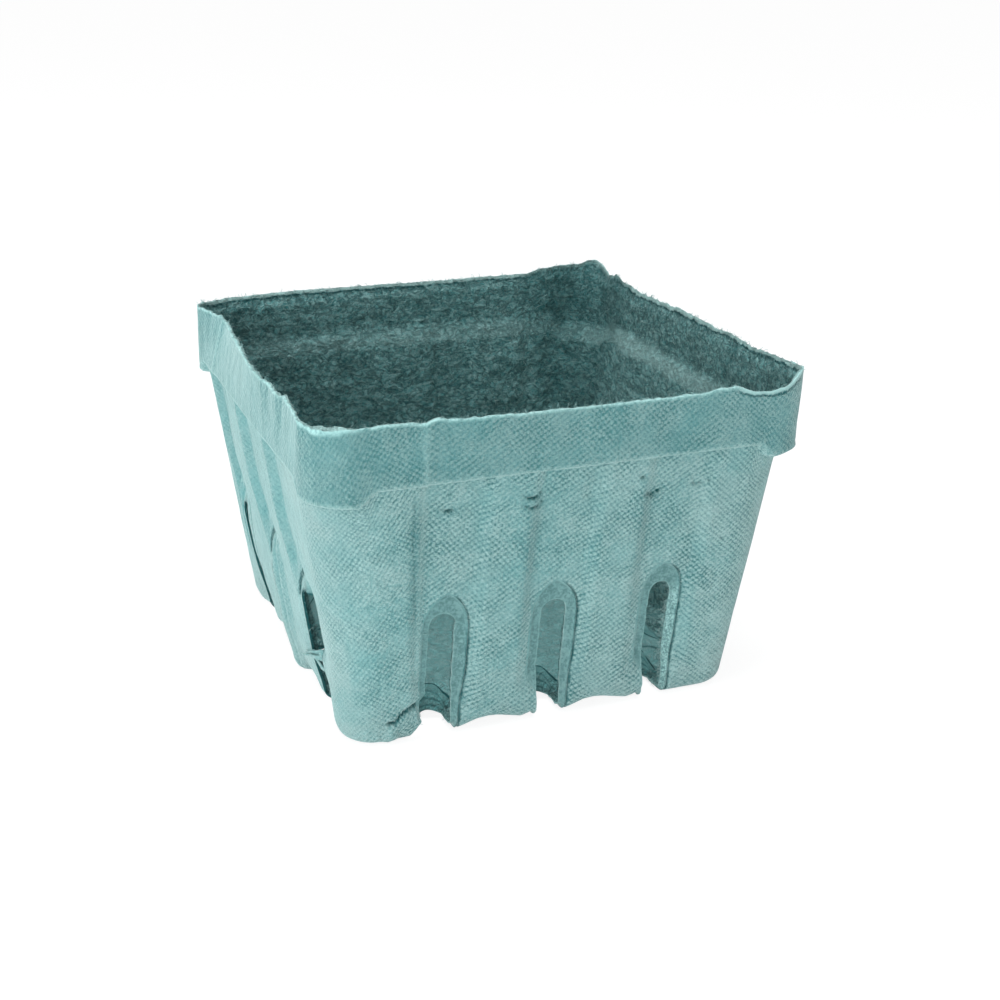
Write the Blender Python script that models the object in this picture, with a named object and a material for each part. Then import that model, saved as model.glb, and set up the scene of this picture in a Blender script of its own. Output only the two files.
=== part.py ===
"""Berry basket: a one-pint till of moulded paper pulp, drawn as the regions of one thin shell.

The real basket is one moulding. Its shell is described once, as a section that runs down the wall,
round the hollow foot and on to the raised floor. The collar, the four walls, the four corners and
the floor are laid out on that section, each a region with a hair-wide kerf to its neighbours.
"""

import bpy
from math import acos, asin, cos, hypot, pi, radians, sin, sqrt
from mathutils import Matrix, Vector
from mathutils.geometry import delaunay_2d_cdt

# The whole basket, in metres
RIM_WIDTH = 0.1110
HEIGHT = 0.0743
BASE_WIDTH = 0.0902
PULP = 0.0018
KERF = 0.0003

# The collar, stepped out below the rim, with a lobe hanging lower at each corner
COLLAR_DEPTH = 0.0130
COLLAR_STEP = 0.0012
COLLAR_CORNER = 0.0101
COLLAR_EDGE = 0.0010
RIM_EDGE = 0.0006
LEDGE_HEIGHT = 0.0032
LOBE_REACH = 0.0130
LOBE_RAMP = 0.0036
LOBE_DROP = 0.0030

# The walls, which lean out, and the corners between them, which open out as they rise
WALL_TOP_CORNER = 0.0149
WALL_BASE_CORNER = 0.0070
CORNER_WIDTH = 0.0111
SEAM_LAND = 0.0005

# The flutes, one above each vent
VENTS_PER_SIDE = 3
FLUTE_WIDTH = 0.0170
FLUTE_DEPTH = 0.0012
FLUTE_FOOT_HEIGHT = 0.0130

# The vents: a round-topped slot in a smooth recess with a pointed top
VENT_SPRING_HEIGHT = 0.0260
SLOT_WIDTH = 0.0060
SLOT_TAIL_LAND = 0.0016
RECESS_WIDTH = 0.0106
RECESS_RISE = 0.0084
RECESS_DEPTH = 0.0011
RECESS_BEVEL = 0.0007

# The hollow foot round the bottom, and the floor that stands up inside it
FOOT_BEND = 0.0032
ARCH_RISE = 0.0019
FOOT_LAND = 0.0006
FLOOR_RISE = 0.0042
LEG_RUN = 0.0024
LEG_BEND = 0.0025
FLOOR_CORNER = 0.0030
FLOOR_SIDE_LAND = 0.0012
FLOOR_LIP = 0.0024
FLOOR_CROWN = 0.0008

# Counts of flat faces on what is round
BEND_FACES = 4
LEG_FACES = 3
EDGE_FACES = 2
LOBE_FACES = 3
CORNER_FACES = 2
ARCH_FACES = 4
ARCH_SHARES = [0.30, 0.54, 0.80]
FLOOR_RING_SHARES = [1.0, 0.72, 0.38]
CUT_TOLERANCE = 0.000001
SMOOTH_ANGLE = radians(32)

SIDES = ["front", "right", "back", "left"]
PULP_COLOUR = (0.225, 0.430, 0.440, 1.0)
PULP_ROUGHNESS = 0.93

# Sizes worked out from those above
COLLAR_HALF = RIM_WIDTH / 2
COLLAR_FOOT_Z = HEIGHT - COLLAR_DEPTH
WALL_TOP_Z = COLLAR_FOOT_Z - KERF
WALL_TOP_HALF = COLLAR_HALF - COLLAR_STEP
BASE_HALF = BASE_WIDTH / 2
SEAM_HALF = BASE_HALF - CORNER_WIDTH
VENT_PITCH = (2 * (SEAM_HALF - SEAM_LAND) - FLUTE_WIDTH) / (VENTS_PER_SIDE - 1)
VENT_PLACES = [VENT_PITCH * (i - (VENTS_PER_SIDE - 1) / 2) for i in range(VENTS_PER_SIDE)]
FLOOR_HALF = VENT_PLACES[-1] + RECESS_WIDTH / 2 + FLOOR_SIDE_LAND + FLOOR_CORNER
FLOOR_EDGE_HALF = FLOOR_HALF - FLOOR_LIP


def clear_scene():
    """Remove every object that the file holds."""
    for old in list(bpy.data.objects):
        bpy.data.objects.remove(old, do_unlink=True)


def blend(a, b, share):
    """The value that lies a given share of the way from a to b."""
    return a + (b - a) * share


def ease(share):
    """A soft step from 0 to 1."""
    share = min(max(share, 0.0), 1.0)
    return share * share * (3 - 2 * share)


def outward(direction):
    """The side of a section line that faces out of the basket, for a line that runs down the wall."""
    return Vector((-direction.y, direction.x))


def offset_corners(corners, distance):
    """The same corners moved square to their legs, into the pulp."""
    legs = [(b - a).normalized() for a, b in zip(corners, corners[1:])]
    moved = [corners[0] - outward(legs[0]) * distance]
    for corner, before, after in zip(corners[1:], legs, legs[1:]):
        middle = (outward(before) + outward(after)).normalized()
        moved.append(corner - middle * (distance / middle.dot(outward(before))))
    moved.append(corners[-1] - outward(legs[-1]) * distance)
    return moved


def rounded_path(corners, radii, faces):
    """Points and outward normals along a path whose corners are rounded."""
    points = [(corners[0], outward((corners[1] - corners[0]).normalized()))]
    for i in range(1, len(corners) - 1):
        before = (corners[i] - corners[i - 1]).normalized()
        after = (corners[i + 1] - corners[i]).normalized()
        first, last = outward(before), outward(after)
        if faces[i] == 0:
            points.append((corners[i], (first + last).normalized()))
            continue
        turn = acos(min(1.0, before.dot(after)))
        side = 1 if before.x * after.y > before.y * after.x else -1
        tangent = radii[i] * sin(turn / 2) / cos(turn / 2)
        centre = corners[i] - before * tangent + first * (radii[i] * side)
        for step in range(faces[i] + 1):
            normal = Matrix.Rotation(side * turn * step / faces[i], 2) @ first
            points.append((centre - normal * (radii[i] * side), normal))
    points.append((corners[-1], outward((corners[-1] - corners[-2]).normalized())))
    return points


def wall_section():
    """Stations down the wall, round the foot and on to the floor: run, outer, inner, normal."""
    lean = (WALL_TOP_HALF - BASE_HALF) / WALL_TOP_Z
    flute_foot = Vector((BASE_HALF + lean * FLUTE_FOOT_HEIGHT, FLUTE_FOOT_HEIGHT))
    corners = [
        Vector((WALL_TOP_HALF, WALL_TOP_Z)),
        flute_foot,
        Vector((BASE_HALF, 0)),
        Vector((FLOOR_HALF + LEG_RUN, 0)),
        Vector((FLOOR_HALF, FLOOR_RISE)),
        Vector((FLOOR_EDGE_HALF, FLOOR_RISE)),
    ]
    faces = [0, 0, BEND_FACES, LEG_FACES, LEG_FACES, 0]
    inside = offset_corners(corners, PULP)
    inside[0] = Vector((inside[0].x + lean * (WALL_TOP_Z - inside[0].y), WALL_TOP_Z))
    outer = rounded_path(corners, [0, 0, FOOT_BEND, LEG_BEND, LEG_BEND, 0], faces)
    inner_radii = [0, 0, FOOT_BEND - PULP, LEG_BEND - PULP, LEG_BEND + PULP, 0]
    inner = rounded_path(inside, inner_radii, faces)
    stations = []
    run = 0.0
    for i, (place, normal) in enumerate(outer):
        run += (place - outer[i - 1][0]).length if i else 0
        stations.append((run, place, inner[i][0], normal))
    return stations


SECTION = wall_section()
RUNS = [station[0] for station in SECTION]
END_RUN = RUNS[-1]
FLUTE_FOOT_RUN = RUNS[1]
BEND_RUN = RUNS[2]
LEG_RUN_START = RUNS[2 + BEND_FACES + 1]
FLOOR_BEND_RUN = RUNS[2 + BEND_FACES + 1 + LEG_FACES + 1]
SLOT_TAIL_RUN = FLOOR_BEND_RUN - SLOT_TAIL_LAND
WALL_SLOPE = RUNS[1] / (WALL_TOP_Z - FLUTE_FOOT_HEIGHT)
SPRING_RUN = (WALL_TOP_Z - VENT_SPRING_HEIGHT) * WALL_SLOPE


def section_at(run):
    """The outer point, inner point and outward normal at a distance down the section."""
    for low, high in zip(SECTION, SECTION[1:]):
        if run <= high[0] or high is SECTION[-1]:
            share = (run - low[0]) / (high[0] - low[0])
            return [blend(a, b, share) for a, b in zip(low[1:], high[1:])]


def plan_radius(half):
    """The corner radius, seen from above, of the outer face where its half width is given."""
    if half > BASE_HALF:
        share = (half - BASE_HALF) / (WALL_TOP_HALF - BASE_HALF)
        return blend(WALL_BASE_CORNER, WALL_TOP_CORNER, share)
    share = (half - FLOOR_HALF) / (BASE_HALF - FLOOR_HALF)
    return blend(FLOOR_CORNER, WALL_BASE_CORNER, share)


def seam_place(run):
    """How far from the middle of a side its seam with the corner lies."""
    half = section_at(run)[0].x
    return min(SEAM_HALF, half - plan_radius(half) - SEAM_LAND)


def from_vent(x):
    """The distance from the middle of the nearest vent."""
    return min(abs(x - place) for place in VENT_PLACES)


def recess_share(x, run):
    """How deep the recess is: 0 outside it, 1 on its smooth floor."""
    arch = (RECESS_RISE ** 2 + (RECESS_WIDTH / 2) ** 2) / RECESS_WIDTH
    across = from_vent(x) + arch - RECESS_WIDTH / 2
    along = max(SPRING_RUN - run, 0)
    share = min(max((arch - hypot(across, along)) / RECESS_BEVEL, 0), 1)
    fade = (FLOOR_BEND_RUN - run) / (FLOOR_BEND_RUN - LEG_RUN_START)
    return share * min(max(fade, 0), 1)


def flute_share(x, run):
    """How deep the flute is: 0 on the pier between two flutes, 1 on the flat above the vent."""
    slope = (FLUTE_WIDTH - RECESS_WIDTH) / 2
    fade = (BEND_RUN - run) / (BEND_RUN - FLUTE_FOOT_RUN)
    return ease((FLUTE_WIDTH / 2 - from_vent(x)) / slope) * min(max(fade, 0), 1)


def arch_height(x):
    """How far the foot arches up between two vents."""
    clear = RECESS_WIDTH / 2 + FOOT_LAND
    half_span = VENT_PITCH / 2 - clear
    if abs(x) > VENT_PLACES[-1] or from_vent(x) < clear:
        return 0.0
    away = (from_vent(x) - clear) / half_span - 1
    return ARCH_RISE * (1 - away * away)


def wall_point(x, run, inside):
    """A point of the front wall: x across it, run down it, on the inner or the outer face."""
    outer, inner, normal = section_at(run)
    depth = FLUTE_DEPTH * flute_share(x, run) + RECESS_DEPTH * recess_share(x, run)
    place = (inner if inside else outer) - normal * depth
    lift = arch_height(x) * max(0, 1 - outer.y / FLOOR_RISE)
    return Vector((x, -place.x, place.y + lift))


def slot_outline():
    """Half of a vent's slot, from its round tail on the leg up to the top of its round head."""
    half = SLOT_WIDTH / 2
    low = SLOT_TAIL_RUN - half
    tail = [(half * sin(pi / 2 * i / ARCH_FACES), low + half * cos(pi / 2 * i / ARCH_FACES))
            for i in range(ARCH_FACES + 1)]
    head = [(half * cos(pi / 2 * i / ARCH_FACES), SPRING_RUN - half * sin(pi / 2 * i / ARCH_FACES))
            for i in range(ARCH_FACES + 1)]
    return tail + head


def arch_outline(inset):
    """Half of a recess's pointed head, from the spring line to the point."""
    half = RECESS_WIDTH / 2 - inset
    arch = (RECESS_RISE ** 2 + (RECESS_WIDTH / 2) ** 2) / RECESS_WIDTH
    centre = arch - RECESS_WIDTH / 2
    places = [half] + [half * share for share in reversed(ARCH_SHARES)] + [0]
    return [(x, SPRING_RUN - sqrt((arch - inset) ** 2 - (centre + x) ** 2)) if x < half
            else (half, SPRING_RUN) for x in places]


def in_slot(x, run):
    """Whether a point of the laid-out wall falls in a slot."""
    half = SLOT_WIDTH / 2
    centre = min(max(run, SPRING_RUN), SLOT_TAIL_RUN - half)
    return hypot(from_vent(x), run - centre) < half


def last_run_inside(x):
    """The lowest station at which a line down the wall is still inside its seams."""
    return max(run for run in RUNS if seam_place(run) - KERF > abs(x))


def wall_lines():
    """The lines of the laid-out wall: its edge, its bends, and each vent's flute, recess and slot."""
    edge = [(seam_place(run) - KERF / 2, run) for run in RUNS]
    lines = [edge + [(-x, run) for x, run in reversed(edge)] + [edge[0]]]
    lines += [[(-x, run), (x, run)] for x, run in edge[1:-1]]
    for left, right in zip(VENT_PLACES, VENT_PLACES[1:]):
        middle = (left + right) / 2
        lines.append([(middle, BEND_RUN), (middle, END_RUN)])
    recess, floor = RECESS_WIDTH / 2, RECESS_WIDTH / 2 - RECESS_BEVEL
    for vent in VENT_PLACES:
        for side in (-1, 1):
            flute = vent + side * FLUTE_WIDTH / 2
            lines.append([(flute, 0), (flute, last_run_inside(flute))])
            lines.append([(vent + side * recess, 0), (vent + side * recess, FLOOR_BEND_RUN)])
            lines.append([(vent + side * floor, SPRING_RUN), (vent + side * floor, FLOOR_BEND_RUN)])
            lines.append([(vent + side * x, run) for x, run in arch_outline(0)])
            lines.append([(vent + side * x, run) for x, run in arch_outline(RECESS_BEVEL)])
            lines.append([(vent + side * x, run) for x, run in slot_outline()])
            x, run = arch_outline(0)[2]
            lines.append([(vent + side * x, 0), (vent + side * x, run)])
        lines.append([(vent, 0), (vent, arch_outline(0)[-1][1])])
    return lines


def laid_out_wall():
    """Triangles of the wall laid out flat, with its slots left open."""
    places, edges = [], []
    for line in wall_lines():
        edges += [(len(places) + i, len(places) + i + 1) for i in range(len(line) - 1)]
        places += [Vector(point) for point in line]
    cut = delaunay_2d_cdt(places, edges, [], 1, CUT_TOLERANCE)
    spots, triangles = cut[0], cut[2]
    kept = [face for face in triangles if not in_slot(*(sum((spots[i] for i in face), Vector((0, 0))) / 3))]
    return spots, kept


def solid_from_sheets(outer, inner, faces):
    """Close two matching sheets into one solid, with a strip along every free edge."""
    used = sorted({i for face in faces for i in face})
    index = {old: new for new, old in enumerate(used)}
    faces = [[index[i] for i in face] for face in faces]
    count = len(used)
    edges = [pair for face in faces for pair in zip(face, face[1:] + face[:1])]
    both_ways = set(edges)
    free = [(a, b) for a, b in edges if (b, a) not in both_ways]
    points = [outer[i] for i in used] + [inner[i] for i in used]
    closed = [list(reversed(face)) for face in faces]
    closed += [[i + count for i in face] for face in faces]
    closed += [[a, b, b + count, a + count] for a, b in free]
    return points, closed


def make_material(name):
    """Dry, matt blue-green pulp."""
    pulp = bpy.data.materials.new(name)
    pulp.use_nodes = True
    shader = pulp.node_tree.nodes["Principled BSDF"]
    shader.inputs["Base Color"].default_value = PULP_COLOUR
    shader.inputs["Roughness"].default_value = PULP_ROUGHNESS
    shader.inputs["Metallic"].default_value = 0.0
    pulp.diffuse_color = PULP_COLOUR
    return pulp


def make_object(name, points, faces, turn):
    """One named solid, turned about the basket's axis to its own side."""
    mesh = bpy.data.meshes.new(name)
    mesh.from_pydata([Matrix.Rotation(turn, 3, "Z") @ point for point in points], [], faces)
    mesh.shade_smooth()
    mesh.set_sharp_from_angle(angle=SMOOTH_ANGLE)
    mesh.materials.append(make_material(name + "_pulp"))
    made = bpy.data.objects.new(name, mesh)
    bpy.context.scene.collection.objects.link(made)
    return made


def make_wall(name, turn):
    """One wall with its flutes and vents, from under the collar, round the foot to the floor."""
    spots, triangles = laid_out_wall()
    outer = [wall_point(spot.x, spot.y, False) for spot in spots]
    inner = [wall_point(spot.x, spot.y, True) for spot in spots]
    make_object(name, *solid_from_sheets(outer, inner, triangles), turn)


def ring_point(straight, radius, angle):
    """A point on a rounded square seen from above, at an angle round its front right corner."""
    return Vector((straight + radius * sin(angle), -straight - radius * cos(angle)))


def lobe_places():
    """Distances from the middle of a side at which the lobe's edge steps down."""
    start = COLLAR_HALF - LOBE_REACH
    return [start + LOBE_RAMP * i / LOBE_FACES for i in range(LOBE_FACES + 1)]


def lobe_fall(x):
    """How far the collar's lower edge has dropped at a distance from the middle of a side."""
    return LOBE_DROP * ease((x - lobe_places()[0]) / LOBE_RAMP)


def corner_angles(straight, radius):
    """Angles round a corner: the lobe's steps, then even steps to the diagonal."""
    steps = [asin(min(max((x - straight) / radius, 0), 1)) for x in lobe_places()]
    rest = [blend(steps[-1], pi / 4, i / CORNER_FACES) for i in range(1, CORNER_FACES + 1)]
    return steps + rest


def collar_section():
    """The collar's closed section: half width, height, how far the straight runs, share of the lobe."""
    wall_straight = WALL_TOP_HALF - WALL_TOP_CORNER
    straight = COLLAR_HALF - COLLAR_CORNER
    inside = COLLAR_HALF - PULP
    shelf = WALL_TOP_HALF - PULP - FLUTE_DEPTH
    ledge = COLLAR_FOOT_Z + LEDGE_HEIGHT
    section = []
    for i in range(EDGE_FACES + 1):
        angle = pi / 2 * i / EDGE_FACES
        section.append((COLLAR_HALF - RIM_EDGE + RIM_EDGE * sin(angle),
                        HEIGHT - RIM_EDGE + RIM_EDGE * cos(angle), straight, 0))
    for i in range(EDGE_FACES + 1):
        angle = pi / 2 * i / EDGE_FACES
        section.append((COLLAR_HALF - COLLAR_EDGE + COLLAR_EDGE * cos(angle),
                        COLLAR_FOOT_Z + COLLAR_EDGE - COLLAR_EDGE * sin(angle), straight, 1))
    section.append((shelf, COLLAR_FOOT_Z, wall_straight, 1))
    section.append((shelf, COLLAR_FOOT_Z + COLLAR_EDGE, wall_straight, 1))
    section.append((inside, ledge + COLLAR_EDGE, straight, 1))
    for i in range(EDGE_FACES + 1):
        angle = pi / 2 * i / EDGE_FACES
        section.append((inside + RIM_EDGE - RIM_EDGE * cos(angle),
                        HEIGHT - RIM_EDGE + RIM_EDGE * sin(angle), straight, 0))
    return section


def collar_columns(half, z, straight, lobe):
    """One line round the front right corner of the collar, from the front side to the right one."""
    radius = half - straight
    near = []
    for i, angle in enumerate(corner_angles(straight, radius)):
        place = ring_point(straight, radius, angle)
        if i <= LOBE_FACES:
            place.x = lobe_places()[i]
        fall = lobe_fall(place.x)
        near.append(Vector((place.x, place.y, z - lobe * fall)))
    far = [Vector((-point.y, -point.x, point.z)) for point in reversed(near[:-1])]
    return near + far


def make_collar():
    """The rim's collar: one closed band with its corner lobes and the ledge inside."""
    corner_lines = [collar_columns(*station) for station in collar_section()]
    lines = []
    for line in corner_lines:
        turned = [Matrix.Rotation(pi / 2 * side, 3, "Z") @ point for side in range(4) for point in line]
        lines.append(turned)
    count = len(lines[0])
    points = [point for line in lines for point in line]
    faces = []
    for i in range(len(lines)):
        low, high = i * count, (i + 1) % len(lines) * count
        for j in range(count):
            after = (j + 1) % count
            faces.append([low + j, high + j, high + after, low + after])
    make_object("rim_collar", points, faces, 0)


def corner_point(column, run, inside):
    """A point of the front right corner: a seam, or an angle round the corner, and a run down it."""
    outer, inner, _ = section_at(run)
    straight = outer.x - plan_radius(outer.x)
    place = inner if inside else outer
    if column == "front seam":
        return Vector((seam_place(run) + KERF / 2, -place.x, place.y))
    if column == "right seam":
        return Vector((place.x, -seam_place(run) - KERF / 2, place.y))
    spot = ring_point(straight, place.x - straight, column)
    return Vector((spot.x, spot.y, place.y))


def corner_top(step, mirrored, inside):
    """A point of the corner's top edge, which follows the step in the collar's lobe."""
    x = lobe_places()[step]
    run = lobe_fall(x) * WALL_SLOPE
    outer, inner, _ = section_at(run)
    straight = outer.x - plan_radius(outer.x)
    place = inner if inside else outer
    radius = place.x - straight
    level = WALL_TOP_Z - lobe_fall(x)
    y = -straight - sqrt(radius ** 2 - max(x - straight, 0) ** 2)
    return Vector((-y, -x, level)) if mirrored else Vector((x, y, level))


def make_corner(name, turn):
    """One rounded corner, from under the collar's lobe down to its own foot."""
    outer_top = SECTION[0][1]
    straight = outer_top.x - plan_radius(outer_top.x)
    angles = [0] + corner_angles(straight, outer_top.x - straight)
    columns = ["front seam"] + angles + [pi / 2 - angle for angle in reversed(angles[:-1])] + ["right seam"]
    steps = {2 + i: (i, False) for i in range(LOBE_FACES + 1)}
    steps.update({len(columns) - 1 - place: (step, True) for place, (step, _) in list(steps.items())})
    sheets = []
    for inside in (False, True):
        sheet = []
        for row, run in enumerate(RUNS):
            for number, column in enumerate(columns):
                between = min(steps) < number < len(columns) - 1 - min(steps)
                if row == 0 and number in steps:
                    sheet.append(corner_top(*steps[number], inside))
                elif row == 0 and between:
                    point = corner_point(column, LOBE_DROP * WALL_SLOPE, inside)
                    point.z = WALL_TOP_Z - LOBE_DROP
                    sheet.append(point)
                else:
                    sheet.append(corner_point(column, run, inside))
        sheets.append(sheet)
    wide = len(columns)
    faces = [[row * wide + i, row * wide + i + 1, (row + 1) * wide + i + 1, (row + 1) * wide + i]
             for row in range(len(RUNS) - 1) for i in range(wide - 1)]
    make_object(name, *solid_from_sheets(*sheets, faces), turn)


def floor_ring(share):
    """One ring of the floor at a share of its width, with its height over the foot."""
    half = (FLOOR_EDGE_HALF - KERF) * share
    radius = (plan_radius(FLOOR_EDGE_HALF) - KERF / 2) * share
    height = FLOOR_RISE + FLOOR_CROWN * (1 - share * share)
    steps = [pi / 2 * i / (2 * CORNER_FACES) for i in range(2 * CORNER_FACES + 1)]
    quarter = [ring_point(half - radius, radius, angle) for angle in steps]
    quarter.insert(0, Vector((0, -half)))
    ring = [Matrix.Rotation(pi / 2 * side, 2) @ spot for side in range(4) for spot in quarter]
    return [Vector((spot.x, spot.y, height)) for spot in ring]


def make_floor():
    """The raised floor panel, crowned a little so that it stays stiff."""
    rings = [floor_ring(share) for share in FLOOR_RING_SHARES]
    count = len(rings[0])
    under = [point for ring in rings for point in ring]
    under.append(Vector((0, 0, FLOOR_RISE + FLOOR_CROWN)))
    faces = []
    for ring in range(len(rings) - 1):
        low, high = ring * count, (ring + 1) * count
        faces += [[low + j, low + (j + 1) % count, high + (j + 1) % count, high + j] for j in range(count)]
    last = (len(rings) - 1) * count
    faces += [[last + j, last + (j + 1) % count, len(under) - 1] for j in range(count)]
    top = [point + Vector((0, 0, PULP)) for point in under]
    make_object("floor", *solid_from_sheets(under, top, faces), 0)


def make_basket():
    """The whole basket, standing on its feet with its axis on Z."""
    make_collar()
    for number, side in enumerate(SIDES):
        turn = pi / 2 * number
        make_wall(side + "_wall", turn)
        following = SIDES[(number + 1) % len(SIDES)]
        make_corner(side + "_" + following + "_corner", turn)
    make_floor()


clear_scene()
make_basket()
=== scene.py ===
# %% [markdown]
# # A moulded-pulp berry basket
#
# The packed part is a clean shell in ten regions, because a solid model has no fibres and no
# accidents. The real basket is one sheet of felted paper that was sucked on to a wire screen. This
# lesson lays that one sheet over the frame: a skin with a screen side and a felt side, then the
# marks that forming, stacking and use have left on it.

# %% Load the frame
from math import pi, radians, sin, cos

import bpy
import numpy as np
from mathutils import Matrix, Vector
from mathutils.geometry import delaunay_2d_cdt


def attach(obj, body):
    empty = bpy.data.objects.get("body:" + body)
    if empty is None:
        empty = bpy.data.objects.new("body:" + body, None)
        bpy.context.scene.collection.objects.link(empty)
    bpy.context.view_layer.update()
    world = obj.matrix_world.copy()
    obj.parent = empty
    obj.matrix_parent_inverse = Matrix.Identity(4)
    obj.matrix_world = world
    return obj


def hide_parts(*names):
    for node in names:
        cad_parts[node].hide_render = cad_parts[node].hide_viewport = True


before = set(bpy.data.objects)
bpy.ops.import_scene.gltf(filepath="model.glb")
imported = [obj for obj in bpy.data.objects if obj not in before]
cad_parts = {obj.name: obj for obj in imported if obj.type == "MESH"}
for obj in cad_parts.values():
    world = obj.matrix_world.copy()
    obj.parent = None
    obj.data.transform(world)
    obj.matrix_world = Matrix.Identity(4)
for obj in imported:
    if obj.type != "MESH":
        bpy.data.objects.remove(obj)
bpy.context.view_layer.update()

# %% [markdown]
# ## Sizes
#
# All of the drawing below is done in millimetres, the unit in which a basket maker would think, and
# is turned into metres once, when a mesh is made. The sizes are those of the solid model. The real
# basket could be traced point by point instead, but a handful of named sizes keeps the skin and
# the solids together.

# %% Name the sizes
MM = 0.001
HEIGHT, RIM_HALF, BASE_HALF, PULP = 74.3, 55.5, 45.1, 1.8
COLLAR_FOOT, COLLAR_STEP, COLLAR_CORNER = 61.3, 1.2, 10.1
WALL_TOP_HALF, WALL_TOP_CORNER, WALL_BASE_CORNER = RIM_HALF - COLLAR_STEP, 14.9, 7.0
FOOT_BEND, LEG_BEND, LEG_RUN = 3.2, 2.5, 2.4
FLOOR_RISE, FLOOR_HALF, FLOOR_EDGE, FLOOR_CORNER, FLOOR_CROWN = 4.2, 34.5, 32.1, 3.0, 0.8
VENTS = (-25.0, 0.0, 25.0)
FLUTE_WIDTH, FLUTE_DEPTH, FLUTE_FOOT = 17.0, 1.2, 13.0
SPRING_Z, SLOT_WIDTH, RECESS_WIDTH, RECESS_RISE = 26.0, 6.0, 10.6, 8.4
RECESS_DEPTH, RECESS_BEVEL, ARCH_RISE, SLOT_TIP = 1.1, 0.7, 1.9, 36.0
LOBE_DROP, LOBE_START, LOBE_RAMP = 3.0, 39.3, 2.8
WALL_SPREAD = WALL_TOP_HALF - BASE_HALF
LEAN = WALL_SPREAD / COLLAR_FOOT
FRONT, RIGHT, BACK, LEFT = range(4)
TINY = 1e-6
print("walls lean out by", round(LEAN, 3), "per millimetre of height")

# %% [markdown]
# ## Noise to draw with
#
# Felted pulp is uneven at every scale. Blender's own textures could move the points with a Displace
# modifier, but the marks here mix noise with measured places, so a small lattice noise in numpy is
# handier: it gives the same values each time and works on a whole mesh at once.

# %% Lattice noise
def noise(points, size, seed, stretch=(1, 1, 1)):
    """Smooth noise between -1 and 1 at each point, with bumps about `size` millimetres across."""
    cell = points / (size * np.array(stretch)) + seed * 17.37
    low = np.floor(cell).astype(np.int64)
    share = cell - low
    share = share * share * (3 - 2 * share)
    total = np.zeros(len(points))
    for corner in np.ndindex(2, 2, 2):
        spot = low + np.array(corner)
        mixed = (spot[:, 0] * 73856093) ^ (spot[:, 1] * 19349663) ^ (spot[:, 2] * 83492791)
        mixed = (mixed ^ (mixed >> 13)) * 1274126177 & 0x7FFFFFFF
        value = (mixed ^ (mixed >> 16)) % 20011 / 10005.0 - 1
        weight = np.prod(np.where(np.array(corner) == 1, share, 1 - share), axis=1)
        total += value * weight
    return total


def layered(points, layers):
    """Noise of several sizes: each layer has a strength, a size, a seed and maybe a stretch."""
    return sum(strength * noise(points, *rest) for strength, *rest in layers)


def ease(share):
    """A soft step from 0 to 1."""
    share = np.clip(share, 0, 1)
    return share * share * (3 - 2 * share)


def hump(x, centre, width):
    """A soft hump of height 1 at the centre, gone at the given distance from it."""
    return ease(1 - np.abs(x - centre) / width)


def bell(x, centre, width):
    """A bell of height 1 at the centre, that never quite ends."""
    return np.exp(-((x - centre) / width) ** 2)


print("noise at three points", noise(np.array([[0, 0, 0], [5, 5, 5], [9, 1, 4]], float), 4.0, 1).round(2))

# %% [markdown]
# ## The section
#
# Cut a basket of this kind in half and the cut edge is one even line: down the leaning wall, round a
# soft bend, along the foot, up a short leg and on to the raised floor. A lathe would spin such a
# line, but this basket is square, so the line is kept as a table of places against the distance run
# down it, and the corners are rounded by a radius that changes on the way.

# %% Draw the section line
def rounded(corners, radii, step=0.25):
    """Close points along a path of legs whose corners are rounded, with outward normals."""
    spots, normals = [], []
    start = np.array(corners[0], float)
    for i in range(1, len(corners)):
        corner = np.array(corners[i], float)
        before = corner - np.array(corners[i - 1], float)
        before /= np.linalg.norm(before)
        side = np.array([-before[1], before[0]])
        turn, tangent = 0.0, 0.0
        if i < len(corners) - 1 and radii[i] > 0:
            after = np.array(corners[i + 1], float) - corner
            after /= np.linalg.norm(after)
            cross = before[0] * after[1] - before[1] * after[0]
            turn = np.arctan2(cross, before @ after)
            tangent = radii[i] * abs(np.tan(turn / 2))
        end = corner - before * tangent
        count = max(2, int(np.linalg.norm(end - start) / step))
        spots += [start + (end - start) * k / count for k in range(count)]
        normals += [side] * count
        if turn:
            way = np.sign(turn)
            centre = end + side * radii[i] * way
            count = max(3, int(radii[i] * abs(turn) / step))
            for k in range(count):
                angle = turn * k / count
                spun = np.array([side[0] * cos(angle) - side[1] * sin(angle),
                                 side[0] * sin(angle) + side[1] * cos(angle)])
                spots.append(centre - spun * radii[i] * way)
                normals.append(spun)
            start = corner + after * tangent
        else:
            start = end
    return np.array(spots + [start]), np.array(normals + [normals[-1]])


corners = [(WALL_TOP_HALF, COLLAR_FOOT), (BASE_HALF, 0), (FLOOR_HALF + LEG_RUN, 0),
           (FLOOR_HALF, FLOOR_RISE), (FLOOR_EDGE, FLOOR_RISE)]
SECTION, SECTION_NORMALS = rounded(corners, [0, FOOT_BEND, LEG_BEND, LEG_BEND, 0])
RUN = np.concatenate([[0], np.cumsum(np.linalg.norm(np.diff(SECTION, axis=0), axis=1))])
T_END = RUN[-1]


def along(run, column):
    """One column of the section table at each distance run."""
    table = np.column_stack([SECTION, SECTION_NORMALS])[:, column]
    return np.interp(run, RUN, table)


def run_at_height(z):
    """How far down the wall's straight part a height is met."""
    straight = SECTION_NORMALS[:, 1] >= SECTION_NORMALS[0, 1] - TINY
    return np.interp(-z, -SECTION[straight, 1], RUN[straight])


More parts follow.
